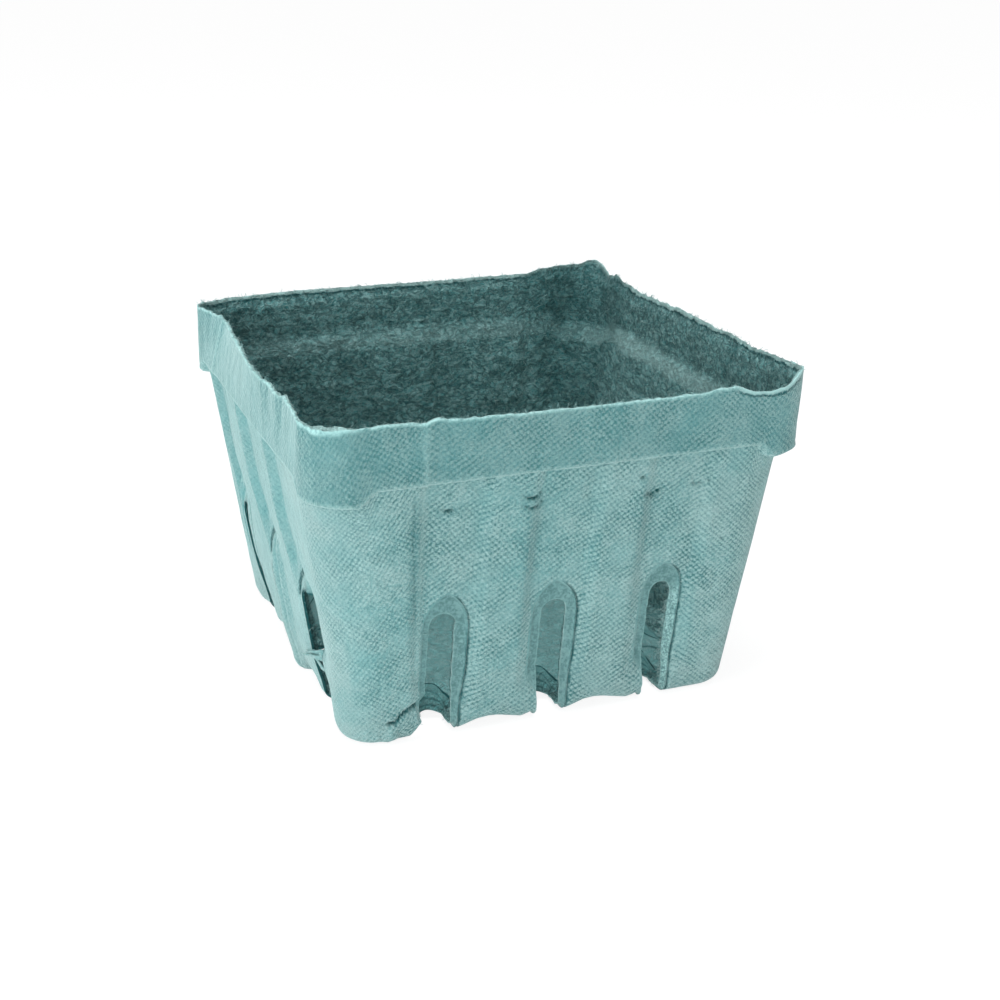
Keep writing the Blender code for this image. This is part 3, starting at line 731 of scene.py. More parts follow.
# %% Weld the quarters and the floor
def weld():
    """Number the shell's points: the quarters share the points on their common diagonals."""
    index = np.full((4, len(board)), -1)
    left_edge = np.where(np.abs(board[:, 0] + S_END) < TINY)[0]
    right_edge = np.where(np.abs(board[:, 0] - S_END) < TINY)[0]
    left_edge = left_edge[np.argsort(board[left_edge, 1])]
    right_edge = right_edge[np.argsort(board[right_edge, 1])]
    source = []
    for side in range(4):
        if side:
            index[side, left_edge] = index[side - 1, right_edge]
        if side == LEFT:
            index[side, right_edge] = index[0, left_edge]
        for place in np.where(index[side] < 0)[0]:
            index[side, place] = len(source)
            source.append((side, place))
    return index, source


index, source = weld()
faces = [index[side][net] for side in range(4)]
used = np.unique(np.concatenate(faces))
compact = np.full(len(source), -1)
compact[used] = np.arange(len(used))
faces = [compact[part] for part in faces]
source = [source[i] for i in used]
side_of, place_of = np.array(source).T


def on_sheet(key):
    """A value kept by side, gathered in the order of the welded points."""
    return np.array([sides[side][key][place] for side, place in source])


screen_points, felt_points = on_sheet("screen"), on_sheet("felt")
runs = board[place_of, 1]
print("welded shell:", len(source), "points a side")

bottom = np.where(runs > T_END - 0.01)[0]
bottom = bottom[np.argsort(np.arctan2(screen_points[bottom, 1], screen_points[bottom, 0]))]
ring = [Vector(screen_points[i, :2]) for i in bottom]
steps = np.arange(-FLOOR_EDGE + 0.9, FLOOR_EDGE - 0.8, 1.25)
middle = [Vector((x, y)) for x in steps for y in steps
          if np.hypot(max(abs(x) - 30, 0), max(abs(y) - 30, 0)) < 1.1]
edges = [(i, (i + 1) % len(ring)) for i in range(len(ring))]
cut = delaunay_2d_cdt(ring + middle, edges, [], 1, 1e-5)
origins = [came_from[0] for came_from in cut[3]]
inner_spots = np.array([tuple(spot) for spot in middle])
floor_index = np.array([bottom[i] if i < len(ring) else len(source) + i - len(ring) for i in origins])
share = np.abs(inner_spots).max(axis=1) / FLOOR_EDGE
crown = FLOOR_RISE + FLOOR_CROWN * (1 - share ** 2)
under = np.column_stack([inner_spots, crown])
under[:, 2] += layered(under, [(0.12, 6, 21)])
above = np.column_stack([inner_spots, crown + PULP])
above[:, 2] += layered(above, [(0.16, 7, 22), (0.10, 2.5, 23)])
screen_points = np.vstack([screen_points, under])
felt_points = np.vstack([felt_points, above])
runs = np.concatenate([runs, np.full(len(inner_spots), T_END + 5)])
floor_faces = floor_index[np.array(cut[2])]
print("floor net:", len(floor_faces), "triangles")

# %% Close the edges and make the mesh
def free_edges(triangles):
    """Edges that only one triangle uses, in that triangle's direction."""
    pairs = np.concatenate([triangles[:, [0, 1]], triangles[:, [1, 2]], triangles[:, [2, 0]]])
    big = triangles.max() + 1
    keys = pairs[:, 0] * big + pairs[:, 1]
    return pairs[~np.isin(keys, pairs[:, 1] * big + pairs[:, 0])]


triangles = np.vstack(faces + [floor_faces])
count = len(screen_points)
border = free_edges(triangles)
rim_points = np.unique(border)
middle_of = {index: 2 * count + number for number, index in enumerate(rim_points)}
middle_points = (screen_points[rim_points] + felt_points[rim_points]) / 2
through = felt_points[rim_points] - screen_points[rim_points]
at_rim = runs[rim_points] < T_TOP + 1
rag = noise(middle_points, 0.8, 31)[:, None] * 0.2
middle_points[:, 2] += np.where(at_rim, 0.12 * bell(through[:, 2], 0, 0.5), 0.0)
middle_points += rag * through / np.linalg.norm(through, axis=1)[:, None]
points = np.vstack([screen_points, felt_points, middle_points])
WIDEST, HIGHEST = RIM_HALF + 1.4, HEIGHT + 2.1
points[:, :2] = np.clip(points[:, :2], -WIDEST, WIDEST)
points[:, 2] = np.clip(points[:, 2], 0.0, HIGHEST)

screen_faces = triangles[:, ::-1]
felt_faces = triangles + count
strips = []
for a, b in border:
    strips.append((a, b, middle_of[b], middle_of[a]))
    strips.append((middle_of[a], middle_of[b], b + count, a + count))
all_faces = screen_faces.tolist() + felt_faces.tolist() + strips
shell_mesh = bpy.data.meshes.new("pulp_shell")
shell_mesh.from_pydata((points * MM).tolist(), [], all_faces)
shell = bpy.data.objects.new("pulp_shell", shell_mesh)
bpy.context.scene.collection.objects.link(shell)
print("shell:", len(points), "points,", len(all_faces), "faces")

# %% [markdown]
# ## What the finish needs to know
#
# The materials below are procedural, but they have to know where they are: how far from an edge,
# whether in a crease, how strongly the screen has printed. Some shares also say where shade and
# highlights are painted into the colour: in creases, gaps and corners, under lips, along edges and
# ledges. Those shares are stored on the points as attributes. The screen's print also needs a
# direction, so the board's own coordinates, turned a little differently in each piece of screen, are
# stored as a UV map.

# %% Store the shares and the direction of the screen
def store(name, screen_values, felt_values, middle_value=0.0, floor_values=(0.0, 0.0)):
    """Put one number on each point: screen side, felt side and the ragged line between them."""
    rests = [np.full(count - len(source), value) for value in floor_values]
    middle = np.broadcast_to(middle_value, len(rim_points))
    values = np.concatenate([screen_values, rests[0], felt_values, rests[1], middle])
    layer = shell_mesh.attributes.new(name, "FLOAT", "POINT")
    layer.data.foreach_set("value", np.ascontiguousarray(values, dtype=np.float32))


LEFT_PLANE = -36
CRESCENT_X, CRESCENT_Y, CRESCENT_RADIUS = 28.5, -36.5, 4.0
S, T = board[place_of].T
Z = on_sheet("z")
nothing = np.zeros(len(source))
rim_gap = T - T_TOP
# pale: painted highlights along the rim's edge, the collar's foot, the seam's ridge and the inner ledge
edge_line = ease(1 - rim_gap / 0.6)
foot_highlight = by_side(side_of, S, (0.65, 0.75, 0.75, 1.1)) * hump(T, T_STEP - 0.3, 0.8)
ridge_highlight = 0.40 * bell(S, 0.1 - SEAM_S, 0.5) * ease((Z - 13) / 6)
double = (side_of == FRONT) & (S < -40) & (rim_gap < 1)
pale = np.clip(np.maximum.reduce([edge_line, 0.7 * foot_highlight, ridge_highlight]), 0, 1) * np.where(double, 0.5, 1.0)
ledge = hump(T, 0.8, 3.4) * np.where(side_of == RIGHT, 0.5, 0.22)
store("pale", pale, edge_line + ledge, np.where(at_rim, 0.9, 0.0))

# crease: painted shade in the marks' grooves, the left vents' gaps, the far inner corner and a floor crescent
left_slot_edge_shade = (np.abs(outside_slot(S, T)) < 0.05) & (screen_points[:len(source), 0] < LEFT_PLANE)
left_slot_shade = ~at_rim & (middle_points[:, 0] < LEFT_PLANE)
felt_x, felt_y, _ = felt_points[:len(source)].T
far_corner_shade = 0.40 * ease((felt_x + felt_y - 84) / 9)
crescent_shade = 0.9 * bell(np.hypot(felt_x - CRESCENT_X, felt_y - CRESCENT_Y), CRESCENT_RADIUS, 0.5)
crescent_shade *= (felt_x > CRESCENT_X - 0.5) * (felt_y > CRESCENT_Y + 1.5) * (T > T_LEG)
store("crease", np.clip(on_sheet("dark") + 0.8 * left_slot_edge_shade, 0, 1),
      np.clip(0.9 * left_slot_edge_shade + far_corner_shade + crescent_shade, 0, 1), np.where(left_slot_shade, 0.9, 0.0))

in_collar = ease((T_STEP + 0.7 - T) / 0.8)
# collar: the collar painted deeper teal, and painted shade on the left slopes of the front flutes
slope_shade = hump(from_vent(S), -7.3, 3.2) * ease((T - 2) / 8) * ease((Z - 18) / 14) * (side_of == FRONT)
store("collar", in_collar + 0.9 * slope_shade, nothing)
streaked = [in_collar * by_side(side_of, S, shares) for shares in ((0, 0, 0, 1), (0.2, 0.7, 0.2, 0.2))]
store("streaked", *streaked)

# paler grey: wear on the flutes' shoulders, painted sheen at the grazing right side and near corner, paler
# towards the foot
shoulders = hump(np.abs(from_vent(S)), 9, 4) * ease((60 - Z) / 10) * (T > 0)
near_corner = (side_of == FRONT) * ease((-S - 36) / 8) + (side_of == LEFT) * ease((S - 20) / 20)
rubbed = 0.50 * ease((18 - Z) / 16) + 0.08 * shoulders
rubbed += (0.30 * ease((S - 5) / 28) + 0.28 * near_corner) * (T > 0)
store("rubbed", np.clip(rubbed, 0, 0.7) * np.isin(side_of, (FRONT, LEFT)) * (T < T_LEG), nothing)

shown = on_sheet("shown")
outside = outside_recess(S, T) + 3 * (1 - shown)
store("recess", np.clip(outside, -3, 3), nothing + 3, 3.0, (3.0, 3.0))
# the share of the painted shadow line along each recess's crease
store("creased", crease_share(S, T) * shown, nothing)
printed = np.where(outside < 0.3, 0.15, 1.0) * (1 - edge_line) * np.where(T > T_LEG, 0.4, 1.0)
store("printed", printed * by_side(side_of, S, (1.0, 1.0, 1.0, 0.4)), nothing, 0.0, (0.7, 0.0))

# lip: where the rim's lip gets a painted highlight on top and a painted shadow line under it
curled = (side_of == FRONT) * ease((S - 33) / 2.5) * ease((47.6 - S) / 0.8)
hemmed = ((side_of == BACK) & (S > -33)) | ((side_of == RIGHT) & (S < 36))
store("lip", curled, np.where(hemmed, 1.0, 0.15))
store("edge", np.clip(rim_gap, 0, 6), np.clip(rim_gap, 0, 6), 0.0, (6.0, 6.0))
frayed = (side_of == FRONT) * ease((S - 27.6) / 0.6) * ease((31.4 - S) / 1.2) * ease((T - T_SPRING + 3) / 3)
store("frayed", frayed, nothing)
slot_gap = np.clip(outside_slot(S, T), 0, 9)
store("slot", slot_gap, slot_gap, 0.0, (9.0, 9.0))
store("smooth", nothing, ease((T - T_LEG) / 4), 0.0, (1.0, 1.0))
print("stored", [layer.name for layer in shell_mesh.attributes if not layer.name.startswith(".")])

# %% [markdown]
# The wire cloth was cut in nine pieces, for four walls, four corners and the floor, so the direction of
# the print changes at each seam. Here the board's own coordinates become the UV map, turned by a
# different angle in each piece and bent a little, as cloth is when it is pressed over a form.

# %% Lay the wire cloth
CLOTH = np.array([
    # the angles of the two sets of threads, in degrees, and their pitches: four walls, four corners,
    # the floor
    (41, 32, 0.90, 1.08), (45, 38, 0.90, 1.05), (40, 34, 0.90, 1.05), (50, 44, 0.90, 1.00),
    (-38, -38, 0.90, 0.95), (-30, -33, 0.90, 0.95), (-41, -38, 0.90, 0.95), (56, 53, 1.00, 0.84),
    (10, 10, 1.2, 1.2),
])


def cloth(piece, u, v):
    """Turn and bend the coordinates of one piece of wire cloth."""
    flat = np.column_stack([u.ravel(), v.ravel(), np.repeat(piece * 50.0, u.size // len(piece))])
    u = u + 0.8 * noise(flat, 24, 41).reshape(u.shape)
    v = v + 0.8 * noise(flat, 22, 42).reshape(v.shape)
    first, second = np.radians(CLOTH[piece, 0])[:, None], np.radians(CLOTH[piece, 1])[:, None]
    across_first = (u * np.cos(first) - v * np.sin(first)) / CLOTH[piece, 2][:, None]
    across_second = (u * np.sin(second) + v * np.cos(second)) / CLOTH[piece, 3][:, None]
    return np.stack([across_first, across_second], axis=2)


number = np.repeat(np.arange(4), len(net))
corner_s = np.concatenate([board[net, 0]] * 4)
corner_t = np.concatenate([board[net, 1]] * 4)
corner_left = np.concatenate([side["left"][net] for side in sides])
middle_s = corner_s.mean(axis=1)
in_wall = np.abs(middle_s) <= SEAM_S
piece = np.where(in_wall, number, 4 + (number - (middle_s < 0)) % 4)
wall_uv = cloth(piece, np.where(in_wall[:, None], corner_s, -corner_left), corner_t)
floor_spots = screen_points[floor_faces]
floor_uv = cloth(np.full(len(floor_faces), 8), floor_spots[:, :, 0], floor_spots[:, :, 1])
uv = np.concatenate([wall_uv, floor_uv])
loops = np.zeros((sum(len(face) for face in all_faces), 2), dtype=np.float32)
loops[:len(triangles) * 3] = uv[:, ::-1].reshape(-1, 2)
layer = shell_mesh.uv_layers.new(name="screen_cloth")
layer.data.foreach_set("uv", loops.ravel())
strip_slots = np.tile([0, 1], len(strips) // 2)
slot_numbers = np.concatenate([np.repeat([0, 1], len(triangles)), strip_slots])
shell_mesh.polygons.foreach_set("material_index", slot_numbers.astype(np.int32))
shell_mesh.shade_smooth()
shell_mesh.set_sharp_from_angle(angle=radians(70))
shell_mesh.update()
print("the cloth has", len(np.unique(piece)), "pieces on the walls and corners")

# %% [markdown]
# ## Two finishes for one sheet
#
# Both sides are the same dyed pulp. The screen side has taken the print of the wire cloth, a fine
# diagonal relief with pale fibres on its tops. The felt side is rough, so less light comes back out of
# it. Each finish is painted layer by layer, from blotches of dye down to single fibres, with painted
# shade in creases, gaps and under lips, and painted highlights along edges and ledges.

# %% A short way to write node trees
class Tree:
    """A node tree under construction, and the colour that is painted in it layer by layer."""

    def __init__(self, name):
        self.material = bpy.data.materials.new(name)
        self.material.use_nodes = True
        self.tree = self.material.node_tree
        self.shader = self.tree.nodes["Principled BSDF"]
        self.place = self.node("ShaderNodeTexCoord").outputs["Object"]

    def node(self, kind, **settings):
        """A new node with some of its settings changed."""
        node = self.tree.nodes.new(kind)
        for name, value in settings.items():
            setattr(node, name, value)
        return node

    def put(self, socket, value):
        """Link a socket's output to it, or set its value."""
        if isinstance(value, bpy.types.NodeSocket):
            self.tree.links.new(value, socket)
        else:
            socket.default_value = value

    def fill(self, node, values):
        """The first output of a node whose first inputs get the values."""
        for socket, value in zip(node.inputs, values):
            self.put(socket, value)
        return node.outputs[0]

    def attribute(self, name):
        """One of the shares that are stored on the points."""
        return self.node("ShaderNodeAttribute", attribute_name=name).outputs["Fac"]

    def math(self, operation, *values):
        return self.fill(self.node("ShaderNodeMath", operation=operation), values)

    def times(self, product, *others):
        """The product of all the values."""
        for other in others:
            product = self.math("MULTIPLY", product, other)
        return product

    def rest(self, value):
        """What a value leaves of 1."""
        return self.math("SUBTRACT", 1.0, value)

    def apart(self, value, centre):
        """How far a value is from a centre."""
        return self.math("ABSOLUTE", self.math("SUBTRACT", value, centre))

    def remap(self, value, low, high, to_low=0.0, to_high=1.0):
        """A soft step from one pair of limits to another."""
        node = self.node("ShaderNodeMapRange", interpolation_type="SMOOTHSTEP")
        return self.fill(node, (value, low, high, to_low, to_high))

    def noise(self, scale, detail=2.0, roughness=0.5, distortion=0.0, squeeze=None):
        """Noise on the object's own coordinates, squeezed along its axes where that is asked for."""
        place = self.place
        if squeeze:
            mapping = self.node("ShaderNodeMapping")
            mapping.inputs["Scale"].default_value = squeeze
            self.put(mapping.inputs["Vector"], place)
            place = mapping.outputs[0]
        node = self.node("ShaderNodeTexNoise")
        names = ("Vector", "Scale", "Detail", "Roughness", "Distortion")
        for name, value in zip(names, (place, scale, detail, roughness, distortion)):
            self.put(node.inputs[name], value)
        return node.outputs["Fac"]

    def mottle(self, grain, *limits):
        """Noise of a given grain, spread between limits."""
        return self.remap(self.noise(*grain), *limits)

    def sway(self, grain, reach):
        """Noise of a given grain as a shift to both sides."""
        return self.times(self.math("SUBTRACT", self.noise(*grain), 0.5), reach)

    def mix(self, share, first, second):
        """A blend of two colours."""
        node = self.node("ShaderNodeMix", data_type="RGBA")
        for number, value in ((0, share), (6, first), (7, second)):
            self.put(node.inputs[number], value)
        return node.outputs[2]

    def paint(self, colour, *shares):
        """Lay a colour over what is painted, as strongly as the product of the shares."""
        self.colour = self.mix(self.times(*shares), self.colour, colour)

    def finish(self, roughness, bumps, sheen):
        """Set colour, roughness, bumps from fine to coarse, and the bloom of loose fibre ends."""
        normal = None
        for height, distance in bumps:
            bump = self.node("ShaderNodeBump")
            bump.inputs["Distance"].default_value = distance
            self.put(bump.inputs["Height"], height)
            if normal:
                self.put(bump.inputs["Normal"], normal)
            normal = bump.outputs[0]
        sockets = {"Base Color": self.colour, "Roughness": roughness, "Normal": normal, "Sheen Weight": sheen}
        sockets |= {"Sheen Roughness": 0.35, "Sheen Tint": BLOOM_TEAL, "Specular IOR Level": 0.12}
        for name, value in sockets.items():
            self.put(self.shader.inputs[name], value)
        return self.material


print("the tree helper knows", [name for name in vars(Tree) if not name.startswith("_")])

# %% The screen side
DEEP_TEAL = (0.038, 0.165, 0.174, 1)
TEAL = (0.132, 0.342, 0.352, 1)
GREY_TEAL = (0.205, 0.382, 0.385, 1)
PALE_TEAL = (0.385, 0.605, 0.595, 1)
EDGE_TEAL = (0.440, 0.720, 0.705, 1)
WORN_AND_SHEEN_GREY = (0.285, 0.425, 0.422, 1)
# painted shade: the dark teal laid in creases, tears, gaps, under lips and in the far inner corner
SHADE_TEAL = (0.006, 0.082, 0.088, 1)
RECESS_TEAL = (0.098, 0.215, 0.217, 1)
BLOOM_TEAL = (0.72, 0.95, 0.93, 1)

# the grain of each noise: how fine, then detail, roughness, distortion and squeeze
DYE_BLOTCHES, SCREEN_FLOCK, SCREEN_GRAIN = (55, 3, 0.55), (650, 4, 0.65, 1.2), (1300, 4, 0.7, 0.5)
SINGLE_FIBRES, PUCKERS = (1000, 3, 0.6, 2.0), (300, 3, 0.6)
SPECKLE, FRAY = (1700, 3, 0.65), (1900, 3, 0.7, 1.0)
THREAD_WARP, THREAD_JITTER, SECOND_SET, PITTED = (620, 3, 0.6), (2300, 2), (85, 2), (180, 2)
PRINT_PATCHES, BROKEN_TOPS, WEAR_AND_SHEEN_PATCHES = (150, 3), (1500, 3, 0.7), (110, 3)
WANDER, LINE_PATCHES, TORN_LINE = (420, 3, 0.6), (240, 3), (1100, 3, 0.6)
COLLAR_STREAKS = (900, 3, 0.6, 0.4, (1, 1, 0.12))


def thread_wave(tree, across, sharpness):
    """One set of threads: 0 in the gaps between them, 1 on their tops."""
    wave = tree.math("ABSOLUTE", tree.math("SINE", tree.times(across, pi)))
    return tree.math("POWER", wave, sharpness)


def cloth_print(tree):
    """How high the print of the wire cloth stands, with its threads and where it took."""
    split = tree.node("ShaderNodeSeparateXYZ")
    tree.put(split.inputs[0], tree.node("ShaderNodeUVMap", uv_map="screen_cloth").outputs[0])
    warp = tree.math("ADD", tree.sway(THREAD_WARP, 0.5), tree.sway(THREAD_JITTER, 1.3))
    threads_a = thread_wave(tree, tree.math("ADD", split.outputs[0], warp), 1.0)
    threads_b = thread_wave(tree, tree.math("SUBTRACT", split.outputs[1], warp), 1.1)
    threads_a = tree.rest(tree.times(tree.mottle(SECOND_SET, 0.38, 0.62, 0.55, 1.0), tree.rest(threads_a)))
    weave = tree.times(threads_a, threads_b)
    bars = tree.math("SUBTRACT", tree.math("MAXIMUM", threads_a, threads_b), weave)
    weave = tree.math("ADD", weave, tree.times(bars, tree.mottle(PITTED, 0.40, 0.60, 0.1, 0.45)))
    printed = tree.times(tree.attribute("printed"), tree.mottle(PRINT_PATCHES, 0.32, 0.6, 0.65, 1.0))
    return tree.times(weave, tree.mottle(BROKEN_TOPS, 0.38, 0.56, 0.15, 1.0), printed), weave, printed


def screen_side():
    """Pulp that was sucked against the wire cloth."""
    tree = Tree("pulp_screen_side")
    print_height, weave, printed = cloth_print(tree)
    grain = tree.noise(*SCREEN_GRAIN)
    flock = tree.mottle(SCREEN_FLOCK, 0.35, 0.68)
    fibre = tree.remap(tree.apart(tree.noise(*SINGLE_FIBRES), 0.5), 0.0, 0.05, 1, 0)
    ragged = tree.remap(grain, 0.35, 0.6, 0.35, 1.0)
    recess, curled = tree.attribute("recess"), tree.attribute("lip")
    wander = tree.sway(WANDER, 0.7)
    rim_gap = tree.math("ADD", tree.attribute("edge"), wander)

    tree.colour = tree.mix(tree.mottle(DYE_BLOTCHES, 0.3, 0.7), TEAL, GREY_TEAL)
    tree.paint(DEEP_TEAL, tree.remap(grain, 0.52, 0.30, 0.0, 0.55))
    tree.paint(PALE_TEAL, flock, 0.30)
    # paler grey of wear, and painted sheen where the sheet is seen at a grazing angle
    tree.paint(WORN_AND_SHEEN_GREY, tree.attribute("rubbed"), tree.mottle(WEAR_AND_SHEEN_PATCHES, 0.35, 0.65, 0.4, 1.0))
    tree.paint(PALE_TEAL, tree.remap(print_height, 0.25, 0.80), 0.66)
    tree.paint(DEEP_TEAL, printed, tree.remap(weave, 0.05, 0.55, 1.0, 0.0))
    tree.paint(PALE_TEAL, fibre, 0.20)
    band = tree.mix(tree.mottle(SPECKLE, 0.46, 0.66, 0.0, 0.7), RECESS_TEAL, GREY_TEAL)
    tree.paint(band, tree.remap(recess, 0.2, -0.6, 0.0, tree.remap(flock, 0.1, 0.9, 0.95, 0.45)))
    # deeper teal on the collar, and painted shade on the front flutes' left slopes
    tree.paint(DEEP_TEAL, tree.attribute("collar"), 0.36)
    tree.paint(DEEP_TEAL, tree.mottle(COLLAR_STREAKS, 0.40, 0.62), tree.attribute("streaked"), 0.4)
    # painted highlights along the rim's edge, the collar's foot, the seam ridge and round the vents
    tree.paint(EDGE_TEAL, tree.attribute("pale"), ragged, 0.8)
    tree.paint(EDGE_TEAL, tree.remap(tree.attribute("slot"), 0.05, 0.35, 0.25, 0.0), ragged)
    tree.paint(EDGE_TEAL, tree.attribute("frayed"), tree.mottle(FRAY, 0.45, 0.60, 0.0, 0.75))
    # painted highlight on the curled lip at the right end of the front
    tree.paint(EDGE_TEAL, tree.remap(rim_gap, 0.8, 0.5, 0.0, 0.6), curled)

    # painted shadow: a dark line along each recess's crease, under the curled lip, and in the marks' grooves
    line = tree.remap(tree.apart(tree.math("ADD", recess, wander), 0.18), 0.10, 0.50, 0.92, 0.0)
    line = tree.times(line, tree.attribute("creased"), tree.mottle(LINE_PATCHES, 0.3, 0.6, 0.5, 1.0))
    # painted shadow line under the curled lip
    shadow_under_lip = tree.times(tree.remap(tree.apart(rim_gap, 1.05), 0.12, 0.35, 0.85, 0.0), curled)
    torn = tree.math("ADD", tree.attribute("crease"), tree.sway(TORN_LINE, 0.5))
    torn = tree.remap(torn, 0.12, 0.60, 0.0, 0.95)
    tree.paint(SHADE_TEAL, tree.math("MAXIMUM", tree.math("MAXIMUM", line, shadow_under_lip), torn))
    bumps = [(grain, 0.00016), (tree.noise(*PUCKERS), 0.00035), (print_height, 0.00024)]
    return tree.finish(tree.remap(flock, 0, 1, 0.96, 0.84), bumps, 0.9)


print("made", screen_side().name)

# %% The felt side
FELT_SHADE = (0.016, 0.085, 0.090, 1)
FELT_DARK = (0.066, 0.252, 0.260, 1)
FELT_MID = (0.172, 0.440, 0.446, 1)
FELT_PALE = (0.420, 0.680, 0.670, 1)
FLOOR_TEAL = (0.250, 0.440, 0.440, 1)
LIP_TEAL = (0.50, 0.78, 0.76, 1)

LYING = (1, 1, 1.3)
FELT_LUMPS, FELT_FLOCK, FELT_GRAIN = (400, 4, 0.6, 0.6, LYING), (760, 5, 0.7, 1.2, LYING), (1400, 4, 0.7, 1.0)
FELT_FOLDS, FELT_STREAKS = (330, 3, 0.55, 0.7, (1, 1, 1.8)), (900, 3, 0.6, 1.4, (1, 1, 0.55))
LIP_SHADOW_BREAKS = (700, 3, 0.6)
CURLED_FIBRES = [
    # grain, the value of the noise that a fibre follows, its half width
    ((420, 2, 0.5, 1.4, LYING), 0.5, 0.07), ((640, 1, 0.5, 2.0, LYING), 0.47, 0.06),
]
SHADED_FLOOR_RINGS = [
    # distance from the slot, darkness of the painted shade
    (1.0, 0.5), (2.2, 0.5), (3.2, 0.4), (4.8, 0.95),
]


def felt_side():
    """Pulp that nothing pressed flat: lumps, pits and curled fibres."""
    tree = Tree("pulp_felt_side")
    lump, flock = tree.noise(*FELT_LUMPS), tree.noise(*FELT_FLOCK)
    fibres = tree.math("MAXIMUM", *[tree.remap(tree.apart(tree.noise(*grain), centre), 0.0, width, 1, 0)
                                    for grain, centre, width in CURLED_FIBRES])
    fold = tree.remap(tree.apart(tree.noise(*FELT_FOLDS), 0.52), 0.0, 0.09, 1, 0)
    smooth, gap, lip = tree.attribute("smooth"), tree.attribute("slot"), tree.attribute("lip")
    rim_gap = tree.math("ADD", tree.attribute("edge"), tree.sway(WANDER, 1.3))

    tree.colour = tree.mix(tree.remap(lump, 0.38, 0.60), FELT_DARK, FELT_MID)
    tree.paint(FELT_PALE, tree.remap(flock, 0.46, 0.66), 0.6)
    tree.paint(FELT_PALE, fibres, 0.50)
    tree.paint(FELT_SHADE, tree.remap(flock, 0.44, 0.28, 0.0, 0.50))
    tree.paint(FELT_SHADE, fold, 0.60)
    tree.paint(FELT_SHADE, tree.mottle(FELT_STREAKS, 0.48, 0.40, 0.0, 0.8), tree.attribute("streaked"))
    tree.paint(tree.mix(tree.remap(flock, 0.3, 0.7), FELT_MID, FLOOR_TEAL), smooth, 0.85)
    # painted highlights on the rim's edge, the inner ledge and the lip, and a painted shadow line under the
    # lip
    tree.paint(LIP_TEAL, tree.attribute("pale"), 0.8)
    tree.paint(LIP_TEAL, tree.remap(rim_gap, 0.7, 0.45, 0.0, 0.7), lip)
    shadow_under_lip = tree.remap(tree.apart(rim_gap, 0.9), 0.12, 0.4, 0.9, 0.0)
    tree.paint(SHADE_TEAL, shadow_under_lip, tree.mottle(LIP_SHADOW_BREAKS, 0.4, 0.55, 0.2, 1.0), lip)
    # painted shade on the steep legs and their ridges, seen through the vents
    tree.paint(FELT_DARK, tree.remap(gap, 4.9, 4.5, 0.0, 0.45), smooth)
    for ring, darkness in SHADED_FLOOR_RINGS:
        tree.paint(SHADE_TEAL, tree.remap(tree.apart(gap, ring), 0.08, 0.3, darkness, 0.0), smooth)
    # painted shade in the far inner corner, at the left vents' edges and in a crescent on the floor
    tree.paint(SHADE_TEAL, tree.attribute("crease"))

    rough = tree.rest(tree.times(smooth, 0.7))
    relief = tree.math("ADD", flock, tree.times(tree.math("SUBTRACT", fibres, fold), 0.6))
    heights = [(tree.noise(*FELT_GRAIN), 0.0003), (relief, 0.0012), (lump, 0.0014)]
    bumps = [(tree.times(height, rough), distance) for height, distance in heights]
    return tree.finish(tree.remap(flock, 0, 1, 0.98, 0.88), bumps, 0.15)


shell_mesh.materials.append(bpy.data.materials["pulp_screen_side"])
shell_mesh.materials.append(felt_side())
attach(shell, "root")
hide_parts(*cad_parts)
print("the shell stands for", sorted(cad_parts))

# %% [markdown]
# ## Loose fibres
#
# Pulp is never trimmed, so fibres stand out along the rim and round the vents, and thicker strands
# bridge the vent that tore. They could be hair particles. Here each one is a thin tapering tube that
# wanders a little at each step, so that it stays an ordinary mesh like everything else.

# %% Grow the fibres
FIBRE_STEPS = 5
RIM_FIBRES, SLOT_FIBRES, FRAYED_FIBRES, HANGING_FIBRES, INSIDE_FIBRES = 900, 700, 110, 22, 420
STRAND_HEIGHTS = (11.0, 13.4, 13.8, 14.2, 14.6, 15.0, 15.4)
fibre_rng = np.random.default_rng(7)
fibre_points, fibre_faces = [], []


def grow(starts, ways, lengths, radii, curl):
    """Add tapering tubes that set out from the starts and wander on their way."""
    places = [starts]
    way = ways / np.linalg.norm(ways, axis=1)[:, None]
    for _ in range(FIBRE_STEPS):
        way = way + curl * fibre_rng.normal(size=way.shape)
        way /= np.linalg.norm(way, axis=1)[:, None]
        places.append(places[-1] + way * (lengths / FIBRE_STEPS)[:, None])
    places = np.array(places)
    ahead = np.gradient(places, axis=0)
    beside = np.cross(ahead, (0.31, 0.52, 0.79))
    beside /= np.linalg.norm(beside, axis=2)[:, :, None]
    other = np.cross(ahead, beside)
    other /= np.linalg.norm(other, axis=2)[:, :, None]
    taper = np.linspace(1, 0.4, FIBRE_STEPS + 1)[:, None, None] * np.asarray(radii)[None, :, None]
    ring = [places + taper * (beside * cos(a) + other * sin(a)) for a in (0, 2 * pi / 3, 4 * pi / 3)]
    ring = np.stack(ring, axis=2)
    base = sum(len(part) for part in fibre_points)
    fibre_points.append(ring.reshape(-1, 3))
    count_here = len(starts)
    for k in range(count_here):
        at = [[base + (step * count_here + k) * 3 + corner for corner in range(3)]
              for step in range(FIBRE_STEPS + 1)]
        fibre_faces.append((at[0][2], at[0][1], at[0][0]))
        fibre_faces.append(tuple(at[-1]))
        for low, high in zip(at, at[1:]):
            for corner in range(3):
                after = (corner + 1) % 3
                fibre_faces.append((low[corner], low[after], high[after], high[corner]))


def pick(places, chosen, number):
    """Random starts among the chosen places."""
    return places[fibre_rng.choice(np.where(chosen)[0], number)]


